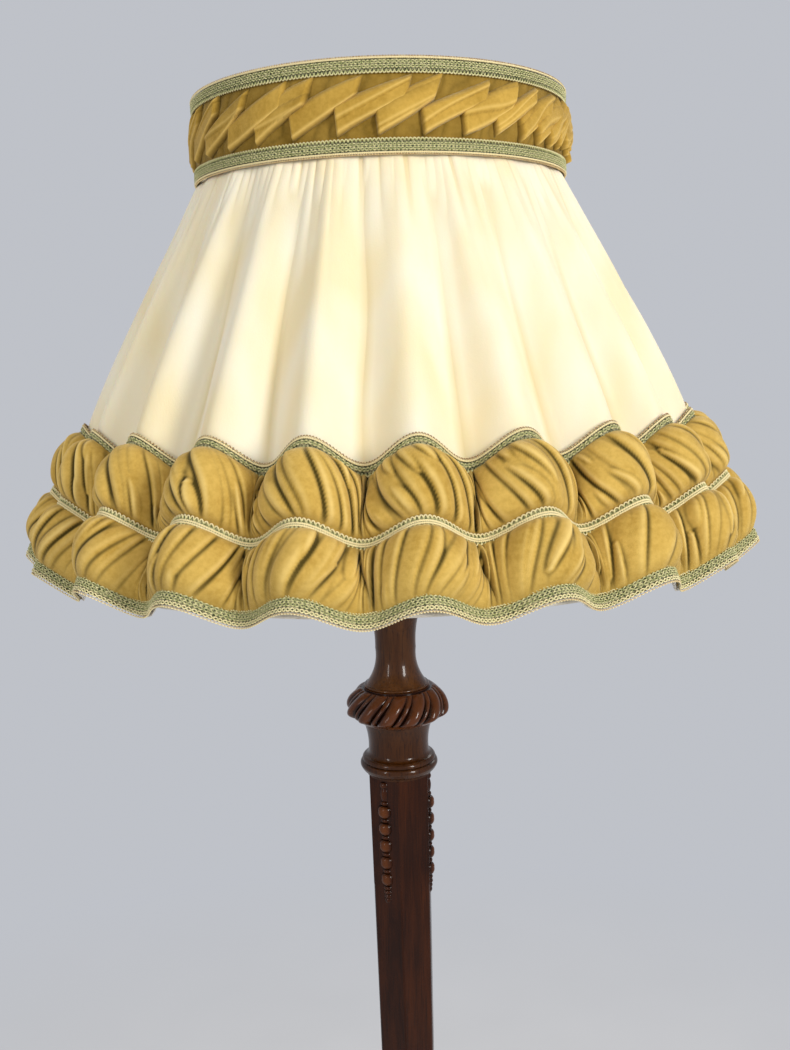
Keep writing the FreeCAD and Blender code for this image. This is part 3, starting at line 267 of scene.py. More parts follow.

# %% [markdown]
# ## Materials
#
# Each finish is a small group of shader nodes. Colour never stays flat: noise drifts it, and numbers that the meshes
# carry paint shade into it in creases and a highlight along the tops of folds. Textures are placed by object
# coordinates, which are in metres here, so a scale of 1000 means features about a millimetre across.

# %% A short way to write shader nodes
class Finish:
    """A material with a Principled shader, and short calls that add nodes to it."""

    def __init__(self, name, **sockets):
        self.material = bpy.data.materials.new(name)
        self.material.use_nodes = True
        self.tree = self.material.node_tree
        self.shader = self.tree.nodes["Principled BSDF"]
        self.place = self.node("ShaderNodeTexCoord").outputs["Object"]
        for key, value in sockets.items():
            self.shader.inputs[key.replace("_", " ")].default_value = value

    def node(self, kind, **settings):
        made = self.tree.nodes.new(kind)
        for key, value in settings.items():
            setattr(made, key, value)
        return made

    def link(self, source, target):
        self.tree.links.new(source, target)

    def plug(self, socket, value):
        if isinstance(value, bpy.types.NodeSocket):
            self.link(value, socket)
        else:
            socket.default_value = value

    def field(self, name):
        return self.node("ShaderNodeAttribute", attribute_name=name).outputs["Fac"]

    def stretched(self, x, y, z):
        mapping = self.node("ShaderNodeMapping")
        mapping.inputs["Scale"].default_value = (x, y, z)
        self.link(self.place, mapping.inputs["Vector"])
        return mapping.outputs["Vector"]

    def noise(self, scale, detail=2.0, rough=0.5, where=None, distortion=0.0):
        made = self.node("ShaderNodeTexNoise")
        made.inputs["Scale"].default_value = scale
        made.inputs["Detail"].default_value = detail
        made.inputs["Roughness"].default_value = rough
        made.inputs["Distortion"].default_value = distortion
        self.link(where or self.place, made.inputs["Vector"])
        return made.outputs["Fac"]

    def ramp(self, value, *stops):
        made = self.node("ShaderNodeValToRGB")
        elements = made.color_ramp.elements
        while len(elements) < len(stops):
            elements.new(0.5)
        for element, (position, colour) in zip(elements, stops):
            element.position = position
            element.color = (*colour, 1.0) if len(colour) == 3 else colour
        self.link(value, made.inputs["Fac"])
        return made.outputs["Color"]

    def mix(self, factor, first, second, blend="MIX"):
        made = self.node("ShaderNodeMix", data_type="RGBA", blend_type=blend)
        self.plug(made.inputs["Factor"], factor)
        self.plug(made.inputs["A"], first if not isinstance(first, tuple) else (*first, 1.0))
        self.plug(made.inputs["B"], second if not isinstance(second, tuple) else (*second, 1.0))
        return made.outputs["Result"]

    def math(self, operation, first, second=0.5, clamp=False):
        made = self.node("ShaderNodeMath", operation=operation, use_clamp=clamp)
        self.plug(made.inputs[0], first)
        self.plug(made.inputs[1], second)
        return made.outputs[0]

    def band(self, value, low, high, to_low=0.0, to_high=1.0):
        made = self.node("ShaderNodeMapRange")
        self.link(value, made.inputs["Value"])
        for key, number in (("From Min", low), ("From Max", high), ("To Min", to_low), ("To Max", to_high)):
            made.inputs[key].default_value = number
        return made.outputs["Result"]

    def colour(self, value):
        self.plug(self.shader.inputs["Base Color"], value)

    def rough(self, value):
        self.plug(self.shader.inputs["Roughness"], value)

    def bump(self, height, depth, strength=1.0):
        made = self.node("ShaderNodeBump")
        made.inputs["Strength"].default_value = strength
        made.inputs["Distance"].default_value = depth
        self.link(height, made.inputs["Height"])
        self.link(made.outputs["Normal"], self.shader.inputs["Normal"])


def dress(piece, finish):
    """Puts one finish on every slot of a piece, or of a CAD node given by name."""
    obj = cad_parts[piece] if isinstance(piece, str) else piece
    obj.data.materials.clear()
    obj.data.materials.append(finish.material)


print("finish tools ready")

# %% [markdown]
# ### Velvet
#
# Cotton velvet is a forest of short upright threads. Looked at along the threads it is deep and dark, and looked at
# across them, at the edge of a fold, it is pale and fuzzy. The Principled shader's sheen gives that edge. The folds
# also get painted shade: the meshes carry a number for it, and the colour falls to olive brown where it is high. A
# second number marks the line along the top of a fold, where the colour is lifted to a pale painted highlight.

# %% Velvet
def velvet_finish(name, light, mid, dark, crest_highlight):
    velvet = Finish(name, Roughness=0.95, Sheen_Weight=0.45, Sheen_Roughness=0.38,
                    Sheen_Tint=(1.0, 0.88, 0.58, 1.0), Specular_IOR_Level=0.08)
    drift = velvet.noise(34.0, 3.0, 0.55)
    nap = velvet.noise(330.0, 3.0, 0.65)
    tone = velvet.math("ADD", velvet.band(drift, 0.3, 0.7, 0.0, 0.7),
                       velvet.band(nap, 0.35, 0.65, 0.0, 0.35))
    between = tuple((a + b) / 2 for a, b in zip(mid, light))
    cloth = velvet.ramp(tone, (0.1, mid), (0.5, between), (0.95, light))
    # Painted highlight: along the tops of folds the colour is lifted to the pale crest colour.
    with_crest_highlight = velvet.mix(velvet.field("crest_highlight"), cloth, crest_highlight)
    # Painted shade: where the mesh marks a crease, the colour falls to the dark colour.
    velvet.colour(velvet.mix(velvet.field("crease_shade"), with_crest_highlight, dark))
    pile = velvet.noise(1900.0, 2.0, 0.75)
    velvet.bump(pile, 0.0006, 0.6)
    return velvet


gold_velvet = velvet_finish("gold velvet", light=(0.66, 0.445, 0.110), mid=(0.46, 0.285, 0.052),
                            dark=(0.036, 0.027, 0.004), crest_highlight=(0.90, 0.68, 0.25))
band_velvet_finish = velvet_finish("band velvet", light=(0.56, 0.355, 0.070), mid=(0.37, 0.222, 0.032),
                                   dark=(0.056, 0.036, 0.005), crest_highlight=(0.86, 0.61, 0.19))
print("velvet ready")

# %% [markdown]
# ### Cream cover, white lining and tape
#
# The cover is a thin crêpe. Daylight passes through it, so its shade is soft, and it has aged in
# long streaks, warm next to cool. A noise that is squeezed round the shade and drawn out down it
# makes those streaks.

# %% Plain cloths
cream_cloth = Finish("cream crepe", Roughness=0.88, Sheen_Weight=0.15, Sheen_Roughness=0.5,
                     Specular_IOR_Level=0.15, Subsurface_Weight=0.12, Subsurface_Scale=0.01)
streak = cream_cloth.noise(3.0, 1.5, 0.5, cream_cloth.stretched(11.0, 11.0, 0.45))
patch = cream_cloth.noise(5.0, 1.0, 0.5)
tone = cream_cloth.math("ADD", cream_cloth.math("MULTIPLY", streak, 0.8),
                        cream_cloth.math("MULTIPLY", patch, 0.2))
aged = cream_cloth.ramp(tone, (0.34, (0.89, 0.735, 0.47)), (0.50, (0.91, 0.785, 0.57)),
                        (0.66, (0.915, 0.825, 0.655)))
# Painted shade: in the valleys of the gathers and flutes the colour falls to a warm brown.
cream_cloth.colour(cream_cloth.mix(cream_cloth.math("MULTIPLY", cream_cloth.field("crease_shade"), 0.75),
                                   aged, (0.66, 0.50, 0.235)))
weft = cream_cloth.noise(900.0, 2.0, 0.6, cream_cloth.stretched(1.0, 1.0, 2.6))
warp = cream_cloth.noise(1400.0, 1.0, 0.5, cream_cloth.stretched(1.0, 1.0, 0.12))
cream_cloth.bump(cream_cloth.math("ADD", weft, warp), 0.00025, 0.35)

white_cotton = Finish("white cotton", Roughness=0.9, Sheen_Weight=0.1, Specular_IOR_Level=0.15)
white_cotton.colour(white_cotton.ramp(white_cotton.noise(24.0, 3.0), (0.3, (0.74, 0.71, 0.63)),
                                      (0.7, (0.84, 0.82, 0.76))))
upright = white_cotton.noise(1500.0, 1.0, 0.5, white_cotton.stretched(1, 1, 0.2))
crosswise = white_cotton.noise(1500.0, 1.0, 0.5, white_cotton.stretched(0.4, 0.4, 1.5))
white_cotton.bump(white_cotton.math("ADD", upright, crosswise), 0.0002, 0.4)

backing_cotton = Finish("backing cotton", Roughness=0.92, Specular_IOR_Level=0.15)
backing_cotton.colour(backing_cotton.ramp(backing_cotton.noise(30.0, 3.0), (0.3, (0.55, 0.48, 0.34)),
                                          (0.7, (0.66, 0.60, 0.46))))
backing_cotton.bump(backing_cotton.noise(1600.0, 1.0, 0.5), 0.0002, 0.4)

baize_cloth = Finish("green baize", Roughness=0.95, Sheen_Weight=0.4, Sheen_Roughness=0.5,
                     Specular_IOR_Level=0.1)
baize_cloth.colour(baize_cloth.ramp(baize_cloth.noise(60.0, 4.0, 0.7), (0.3, (0.012, 0.045, 0.018)),
                                    (0.7, (0.030, 0.085, 0.036))))
baize_cloth.bump(baize_cloth.noise(1800.0, 3.0, 0.8), 0.0004, 0.6)
print("plain cloths ready")

# %% [markdown]
# ### Braid threads
#
# The braid is woven from a sage green gimp, a cream cord and a fine brown edge. Each thread carries a "tint": 0 is the
# dark olive of the tape, which stands in as painted shade in the gaps, 1 is sage, 2 is cream and 3 is brown. Along each
# thread the tint rises and falls with its twist, and on the loops it rises towards cream at the tips: painted highlight
# and shade on the threads.

# %% Braid
braid_thread = Finish("braid thread", Roughness=0.6, Sheen_Weight=0.25, Sheen_Roughness=0.4,
                      Specular_IOR_Level=0.3)
fleck = braid_thread.noise(700.0, 2.0, 0.7)
tint = braid_thread.math("MULTIPLY", braid_thread.field("tint"), 1 / 3)
# Thread colours by tint, with painted highlight and shade where the tint rises and falls along the threads.
thread_colour_and_light = braid_thread.ramp(tint, (0.0, (0.040, 0.050, 0.016)), (0.16, (0.130, 0.150, 0.045)),
                         (0.333, (0.40, 0.43, 0.170)), (0.667, (0.90, 0.80, 0.47)),
                         (0.85, (0.66, 0.47, 0.22)), (1.0, (0.28, 0.16, 0.07)))
braid_thread.colour(braid_thread.mix(braid_thread.band(fleck, 0.42, 0.66, 0.0, 0.50), thread_colour_and_light,
                                     (0.88, 0.80, 0.46)))
braid_thread.bump(braid_thread.noise(3000.0, 2.0, 0.6), 0.0003, 0.5)
print("braid ready")

# %% [markdown]
# ### Mahogany under French polish
#
# The wood is stained nearly black and glows orange red where light gets into it. Long grain runs up the pole: a noise
# stretched along Z. Pores are short dark dashes. The high places of the carving are painted orange as a highlight, and
# its hollows painted nearly black as shade. An occlusion node finds both: it is dark where a hollow is closed in, and
# white on a crest. On the column the husks stand out of flat faces, and there the painted highlight goes by the height
# over the face: the largest of three dot products with the directions of the carved faces, less half the width of the
# tapering column. A thin clear coat on top is the polish, kept low, because old polish has sunk into the pores.

# %% Mahogany
def mahogany(name, tones, grain_size=95.0, across=False, crest_highlight=(0.16, 0.052, 0.012), crest_highlight_amount=0.85, crest_highlight_from=0.90,
             polish=0.16):
    wood = Finish(name, Coat_Weight=polish, Coat_Roughness=0.07, Specular_IOR_Level=0.09)
    grain_place = wood.stretched(0.12, 1.0, 1.0) if across else wood.stretched(1.0, 1.0, 0.10)
    pore_place = wood.stretched(0.04, 1.0, 1.0) if across else wood.stretched(1.0, 1.0, 0.035)
    grain = wood.noise(grain_size, 6.0, 0.65, grain_place, 0.6)
    figure = wood.noise(16.0, 3.0, 0.5, grain_place, 0.9)
    tone = wood.math("ADD", wood.math("MULTIPLY", grain, 0.55), wood.math("MULTIPLY", figure, 0.45))
    body = wood.ramp(tone, *zip((0.30, 0.46, 0.60, 0.76), tones))
    pores = wood.band(wood.noise(900.0, 1.0, 0.5, pore_place), 0.56, 0.66)
    grained = wood.mix(wood.math("MULTIPLY", pores, 0.45), body, (0.006, 0.0018, 0.0008))
    closed = wood.node("ShaderNodeAmbientOcclusion", samples=8, only_local=True)
    closed.inputs["Distance"].default_value = 0.012
    open_to_light = closed.outputs["AO"]
    # Painted highlight: where the occlusion finds an open crest, the colour goes to the orange crest colour.
    crest_highlight_mask = wood.band(open_to_light, crest_highlight_from, 0.985, 0.0, crest_highlight_amount)
    # Painted shade: where a hollow is closed in, the colour goes nearly black.
    wood.grime = wood.band(open_to_light, 0.86, 0.52, 0.0, 0.92)
    wood.lit = wood.mix(crest_highlight_mask, grained, crest_highlight) if crest_highlight_amount else grained
    wood.colour(wood.mix(wood.grime, wood.lit, (0.0075, 0.0030, 0.0015)))
    wood.rough(wood.band(wood.noise(28.0, 3.0), 0.3, 0.7, 0.20, 0.34))
    wood.bump(wood.math("SUBTRACT", wood.noise(14.0, 2.0), wood.math("MULTIPLY", pores, 0.12)), 0.0006, 0.25)
    return wood


dark_tones = ((0.0080, 0.0020, 0.0006), (0.020, 0.0046, 0.0010), (0.042, 0.0098, 0.0017),
              (0.085, 0.0225, 0.0038))
brown_tones = ((0.024, 0.0070, 0.0014), (0.050, 0.0160, 0.0030), (0.088, 0.0310, 0.0060),
               (0.140, 0.0540, 0.0110))
# A darker copy of the turned wood's tones for the capital: painted shade, for the shade under the collar, while the
# neck above takes the light.
shaded_capital_tones = ((0.014, 0.0038, 0.0008), (0.030, 0.0088, 0.0016), (0.054, 0.0170, 0.0030),
             (0.090, 0.0310, 0.0058))
column_wood = mahogany("mahogany of the column", dark_tones, crest_highlight_amount=0.0)
# The capital's finish uses the darker tones as painted shade.
capital_wood = mahogany("mahogany of the capital", shaded_capital_tones, crest_highlight_amount=0.0, polish=0.30)
turned_wood = mahogany("mahogany of the turnings", brown_tones, crest_highlight_amount=0.0, polish=0.34)
carved_wood = mahogany("mahogany of the carved collars", dark_tones, crest_highlight=(0.13, 0.038, 0.009),
                       crest_highlight_amount=0.50, crest_highlight_from=0.93, polish=0.36)
base_wood = mahogany("mahogany, level grain", dark_tones, across=True, crest_highlight_amount=0.0)

shaft_low, shaft_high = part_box("column_shaft")[0][2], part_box("column_capital")[0][2]
foot_half, top_half = 0.01650, 0.02310
apart = column_wood.node("ShaderNodeSeparateXYZ")
column_wood.link(column_wood.place, apart.inputs[0])
over_face = None
for facing in (0.0, 120.0, -120.0):
    across = column_wood.math("MULTIPLY", apart.outputs[0], math.cos(math.radians(facing)))
    along_y = column_wood.math("MULTIPLY", apart.outputs[1], math.sin(math.radians(facing)))
    reach = column_wood.math("ADD", across, along_y)
    over_face = reach if over_face is None else column_wood.math("MAXIMUM", over_face, reach)
half_width = column_wood.band(apart.outputs[2], shaft_low, shaft_high, foot_half, top_half)
stands_out = column_wood.math("SUBTRACT", over_face, half_width)
# Painted highlight: the husks that stand out of the faces are coloured orange brown, and painted shade from the
# occlusion darkens the hollows round them.
husk_highlight = column_wood.band(stands_out, 0.0012, 0.0040, 0.0, 0.85)
with_husk_highlight = column_wood.mix(husk_highlight, column_wood.lit, (0.115, 0.034, 0.008))
column_wood.colour(column_wood.mix(column_wood.grime, with_husk_highlight, (0.0055, 0.0020, 0.0010)))
print("carved faces stand at", foot_half, "to", top_half, "m from the axis")

for nodes, wood in (("column_shaft", column_wood), ("vase_turning neck_turning", turned_wood),
                    ("column_capital", capital_wood),
                    ("lower_gadroon_collar gadroon_collar", carved_wood), ("base_plinth bun_feet", base_wood)):
    for node in nodes.split():
        dress(node, wood)
print("mahogany ready")

# %% [markdown]
# ### Brass, steel, iron and small parts
#
# Old lacquered brass is warm and slightly clouded. The clouding is a slow noise in the roughness and
# a little brown in the colour.

# %% Metals and small parts
def metal(name, low, high, rough_low, rough_high, scale=60.0, **sockets):
    made = Finish(name, Metallic=1.0, **sockets)
    cloud = made.noise(scale, 4.0, 0.6)
    made.colour(made.ramp(cloud, (0.3, low), (0.7, high)))
    made.rough(made.band(cloud, 0.3, 0.7, rough_low, rough_high))
    made.bump(made.noise(700.0, 2.0, 0.6), 0.0001, 0.25)
    return made


brass = metal("lacquered brass", (0.50, 0.33, 0.11), (0.72, 0.52, 0.22), 0.36, 0.20)
steel = metal("plain steel", (0.36, 0.35, 0.34), (0.55, 0.54, 0.53), 0.42, 0.28)
tungsten = metal("dark wire", (0.10, 0.10, 0.10), (0.2, 0.2, 0.2), 0.5, 0.4)
solder = metal("soft solder", (0.42, 0.42, 0.42), (0.62, 0.62, 0.61), 0.45, 0.30, 400.0)
iron = Finish("cast iron", Metallic=0.75, Specular_IOR_Level=0.4)
iron.colour(iron.ramp(iron.noise(120.0, 4.0, 0.7), (0.3, (0.035, 0.034, 0.034)),
                      (0.7, (0.085, 0.078, 0.072))))
iron.rough(iron.band(iron.noise(80.0, 3.0), 0.3, 0.7, 0.55, 0.8))
iron.bump(iron.noise(900.0, 3.0, 0.7), 0.0006, 0.6)
enamel = Finish("white enamelled wire", Roughness=0.42, Specular_IOR_Level=0.45)
enamel.colour(enamel.ramp(enamel.noise(140.0, 4.0, 0.7), (0.30, (0.40, 0.24, 0.12)), (0.40, (0.66, 0.61, 0.50)),
                          (0.7, (0.78, 0.75, 0.68))))
enamel.bump(enamel.noise(600.0, 3.0, 0.7), 0.0002, 0.4)
phenolic = Finish("brown phenolic", Roughness=0.38, Specular_IOR_Level=0.5)
phenolic.colour(phenolic.ramp(phenolic.noise(180.0, 4.0, 0.7), (0.3, (0.035, 0.016, 0.009)),
                              (0.7, (0.085, 0.038, 0.020))))
phenolic.bump(phenolic.noise(900.0, 2.0), 0.0001, 0.2)
black_glass = Finish("black glass", Roughness=0.12, Specular_IOR_Level=0.6)
black_glass.colour(black_glass.ramp(black_glass.noise(200.0, 2.0), (0.3, (0.010, 0.010, 0.014)),
                                    (0.7, (0.022, 0.020, 0.026))))
clear_glass = Finish("blown glass", Roughness=0.03, Transmission_Weight=1.0, IOR=1.46)
clear_glass.colour(clear_glass.ramp(clear_glass.noise(20.0, 2.0), (0.3, (0.93, 0.95, 0.94)),
                                    (0.7, (0.98, 0.99, 0.985))))

for nodes, finish in (
        ("flex_bush holder_plate nipple locknut holder_cap holder_barrel shade_ring_lower shade_ring_upper "
         "push_bar contact_plungers bulb_cap carrier_washer carrier_arms carrier_ring", brass),
        ("ballast_screws plunger_springs", steel), ("bulb_filament", tungsten), ("bulb_contacts", solder),
        ("ballast_disc", iron),
        ("gimbal_ring gimbal_arms top_ring collar_ring bottom_ring frame_struts", enamel),
        ("holder_insert push_bar_knobs", phenolic), ("bulb_insulator", black_glass),
        ("bulb_glass bulb_stem", clear_glass)):
    for node in nodes.split():
        dress(node, finish)
print("metals and small parts ready")

# %% [markdown]
# ## The gathered cover
#
# The maker drew a long strip of crêpe tight round the collar and let it out at the flounce. So it
# starts in some 150 fine gathers. Most of them die out within a few centimetres, some run half way
# down, and a few reach the flounce, while the whole cloth swells into one broad flute over every
# ripple of the skirt. Each gather is a soft ridge with its own length, width and wander. Where two
# ridges meet, the higher one wins, and that leaves the narrow valley that a real gather has.

# %% Gathered cream cover
rng = np.random.default_rng(41)
COLUMNS, ROWS = 2112, 84
angle = np.linspace(0, 2 * math.pi, COLUMNS, endpoint=False)[None, :]
down = np.linspace(0, 1, ROWS)[:, None] ** 1.15
cover_top, cover_low = collar_z + 0.0012, upper_z - 0.0005
height = cover_top + (cover_low - cover_top) * down
GATHERS = 148
gathered = np.zeros((ROWS, COLUMNS))
for k in range(GATHERS):
    reach = rng.choice([0.16, 0.30, 0.55, 1.15], p=[0.34, 0.30, 0.22, 0.14]) * rng.uniform(0.7, 1.3)
    start = (k + rng.uniform(-0.30, 0.30)) * COLUMNS / GATHERS
    sway = rng.uniform(-6, 6) * down + rng.uniform(-3, 3) * np.sin(down * rng.uniform(2, 5))
    half = (8.2 + 16.0 * down * rng.uniform(0.6, 1.4)) * rng.uniform(0.8, 1.25)
    tall = rng.uniform(0.0010, 0.0023) * np.clip(1 - down / reach, 0, 1) ** 0.8
    nearby = np.arange(int(start) - 50, int(start) + 51)
    across = (nearby[None, :] - start - sway) / half
    lean = rng.uniform(-0.35, 0.35)
    across = across * (1 + lean * np.sign(across))
    ridge = tall * np.clip(1 - across ** 2, 0, 1) ** (0.8 + 1.4 * np.clip(down * 3, 0, 1))
    lanes = nearby % COLUMNS
    gathered[:, lanes] = np.maximum(gathered[:, lanes], ridge)
held = np.clip(down / 0.02, 0, 1) * np.clip((1 - down) / 0.04, 0, 1)
wander = smooth_noise(rng, 44, 4)
slow = smooth_noise(rng, 66, 6)
lobe_place = LOBES * angle + 0.9 * wander(angle * 44 / (2 * math.pi), down * 2) * np.sin(math.pi * down)
flute = np.abs(np.cos(lobe_place / 2)) ** 0.75
flute_depth = 0.0048 * down ** 0.8 * (1 - down ** 5)
soft = 0.0011 * slow(angle * 66 / (2 * math.pi), down * 3) * np.sin(math.pi * down)
relief = (gathered + flute_depth * (flute - 0.10) + np.abs(soft)) * held
points = cloth_point(angle, height, -0.0008 + relief)
# Painted shade for the valleys of the fine gathers near the collar and of the broad flutes below, carried on the mesh.
gather_valley = np.clip(1 - gathered / 0.0007, 0, 1) * np.clip(1 - down * 3.2, 0, 1)
flute_valley = np.clip(1 - np.abs(np.cos(lobe_place / 2)) * 3.2, 0, 1) * np.clip(down * 1.6 - 0.15, 0, 1)
crease_shade = np.clip(gather_valley * 0.75 + flute_valley * 0.8, 0, 1)
cover = make_mesh("cream_cover", points.reshape(-1, 3), grid_faces(ROWS, COLUMNS, True, flip=True),
                  {"crease_shade": crease_shade * np.ones_like(relief)})
dress(cover, cream_cloth)
thicken(cover, 0.0006)
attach(cover, "shade")
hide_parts("pleated_cover")
print("cover:", len(cover.data.polygons), "faces")

# %% [markdown]
# ## Linings
#
# Inside, a plain white cotton lining hides the wire. It is stretched flat, so it needs only a few
# soft pulls towards each strut. Two strips of cotton back the velvet.

# %% Lining, flounce backing and band backing
lining_top, lining_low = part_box("cover_lining")[1][2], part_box("cover_lining")[0][2]
lining_angle = np.linspace(0, 2 * math.pi, 440, endpoint=False)[None, :]
lining_down = np.linspace(0, 1, 40)[:, None]
lining_z = lining_top + (lining_low - lining_top) * lining_down
lining_low_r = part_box("cover_lining")[1][0]
lining_levels = [-lining_top, -upper_z + 0.0106, -middle_z + 0.0091, -lining_low]
lining_r = np.interp(-lining_z, lining_levels, [0.1283, 0.2054, 0.2274, lining_low_r])
pull = 0.0012 * np.abs(np.sin(11 * (lining_angle - math.pi / 22))) ** 0.7 * np.sin(math.pi * lining_down)
ruck = 0.0005 * np.sin(lining_angle * 88 + 3 * np.sin(lining_angle * 7)) * np.exp(-lining_down * 6)
lining_r = lining_r - 0.0007 - pull + ruck - 0.0003
lining_points = np.stack([lining_r * np.cos(lining_angle), lining_r * np.sin(lining_angle),
                          lining_z * np.ones_like(lining_angle)], -1)
lining = make_mesh("white_lining", lining_points.reshape(-1, 3), grid_faces(40, 440, True, flip=True))
dress(lining, white_cotton)
thicken(lining, 0.0004, 0.0)
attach(lining, "shade")
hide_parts("cover_lining")

flounce_angle = np.linspace(0, 2 * math.pi, 880, endpoint=False)[None, :]
flounce_z = np.linspace(upper_z - 0.0008, hem_z + 0.0005, 26)[:, None]
weave_pull = 0.0003 * np.sin(flounce_angle * 132 + 4 * np.sin(flounce_angle * 9))
flounce_points = cloth_point(flounce_angle, flounce_z, -0.0004 + weave_pull * np.ones_like(flounce_z))
flounce_back = make_mesh("flounce_backing_cloth", flounce_points.reshape(-1, 3),
                         grid_faces(26, 880, True, flip=True))
dress(flounce_back, white_cotton)
thicken(flounce_back, 0.0006)
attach(flounce_back, "shade")
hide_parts("flounce_backing")

band_angle = np.linspace(0, 2 * math.pi, 360, endpoint=False)[None, :]
band_z = np.linspace(top_z - 0.0006, collar_z + 0.0020, 12)[:, None]
band_r = 0.1310 + 0.0002 * np.sin(band_angle * 60) * np.ones_like(band_z)
band_points = np.stack([band_r * np.cos(band_angle), band_r * np.sin(band_angle),
                        band_z * np.ones_like(band_angle)], -1)
band_back = make_mesh("band_backing_cloth", band_points.reshape(-1, 3), grid_faces(12, 360, True, flip=True))
dress(band_back, backing_cotton)
thicken(band_back, 0.0006)
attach(band_back, "shade")
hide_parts("band_backing")
print("linings ready")

# %% [markdown]
# ## Ruched velvet of the flounce
#
# A strip of velvet longer than the hem was pinched in at every valley and stitched down along the
# braids, so between two pinches it puffs up into a cushion crossed by slanting folds. In the upper
# row the folds leave a pinch at the top left and gather again at the bottom right; in the lower row
# they lean the other way. One fold is a ridge along a curved line, with a broad back and a steep
# front, so that it seems to lie over its neighbour. The higher of two ridges always wins, which
# leaves a sharp crease between them. Short folds run in between, and curls fill the pinches.

# %% One field of folds
def along(share, knots, stops):
    """A point on a broken line, at a share of its way."""
    knots = np.array(knots)
    return np.array([np.interp(share, stops, knots[:, 0]), np.interp(share, stops, knots[:, 1])])


class Folds:
    """Heights of folds over a ring of puffs, on a grid of rows down and columns round."""

    def __init__(self, rows, per_puff, width, tall):
        self.rows, self.per_puff, self.width, self.tall = rows, per_puff, width, tall
        self.height = np.zeros((rows, per_puff * LOBES))

    def add(self, puff, start, middle, end, back, front, rise):
        """A fold from start over middle to end, in shares of the puff. front < 0 faces left."""
        t = np.linspace(0, 1, 41)[:, None]
        size = np.array([self.width, self.tall])
        line = ((1 - t) ** 2 * start + 2 * t * (1 - t) * middle + t * t * end) * size
        ahead_of = unit(np.gradient(line, axis=0))
        pad = int(self.per_puff * 0.55)
        lane = np.arange(-pad, self.per_puff + pad)
        x = (lane / self.per_puff * self.width)[None, :, None]
        y = (np.linspace(0, 1, self.rows) * self.tall)[:, None, None]
        dx, dy = x - line[:, 0], y - line[:, 1]
        near = np.argmin(dx * dx + dy * dy, -1)
        dx = np.take_along_axis(dx, near[..., None], -1)[..., 0]
        dy = np.take_along_axis(dy, near[..., None], -1)[..., 0]
        tx, ty = ahead_of[near, 0], ahead_of[near, 1]
        side = (tx * dy - ty * dx) * (1 if front < 0 else -1)
        forward = tx * dx + ty * dy
        place = np.clip((near + forward / (self.tall / 35)) / 40, 0, 1)
        past = np.clip(np.abs(forward) - self.tall / 55, 0, None)
        taper = 0.55 + 0.45 * np.sin(math.pi * place) ** 0.8
        reach = np.where(side > 0, abs(front), back) * taper
        off = np.sqrt(side ** 2 + past ** 2) / reach
        ridge = rise * taper * np.where(side > 0, np.clip(1 - off ** 2, 0, 1), np.clip(1 - off ** 1.5, 0, 1))
        columns = (puff * self.per_puff + lane) % self.height.shape[1]
        self.height[:, columns] = np.maximum(self.height[:, columns], ridge)

    def finish(self):
        """Softens the grid's steps, and tells creases from crests, for painted shade and painted highlight: one lies
        under a blurred copy of the heights, the other over it."""
        self.height = soften(self.height, 1)
        bend = self.height - soften(self.height, 7)
        self.crease_shade = np.clip(-bend / 0.00042 - 0.12, 0, 1)
        self.crest_highlight = np.clip(bend / 0.00060 - 0.15, 0, 1)


def soften(grid, times):
    """Blurs a grid a little: round the ring, and up and down between its edges."""
    for _ in range(times):
        grid = (np.roll(grid, 1, 1) + 2 * grid + np.roll(grid, -1, 1)) / 4
        tall = np.concatenate([grid[:1], grid, grid[-1:]])
        grid = (tall[:-2] + 2 * grid + tall[2:]) / 4
    return grid


# %% The two velvet rows
UPPER_PLAN = dict(
    starts=([(0.00, 0.66), (0.02, 0.22), (0.16, -0.02), (0.86, -0.02)], [0, 0.16, 0.34, 1]),
    ends=([(0.02, 1.04), (0.42, 1.04), (0.93, 1.04), (1.03, 0.62)], [0, 0.34, 0.80, 1]),
    facing=-1, bulge=0.08)
LOWER_PLAN = dict(
    starts=([(-0.03, 0.50), (0.06, -0.02), (0.95, -0.02), (1.04, 0.50)], [0, 0.12, 0.72, 1]),
    ends=([(0.00, 1.04), (0.08, 1.04), (0.50, 1.04), (0.98, 1.02)], [0, 0.20, 0.62, 1]),
    facing=1, bulge=-0.05)


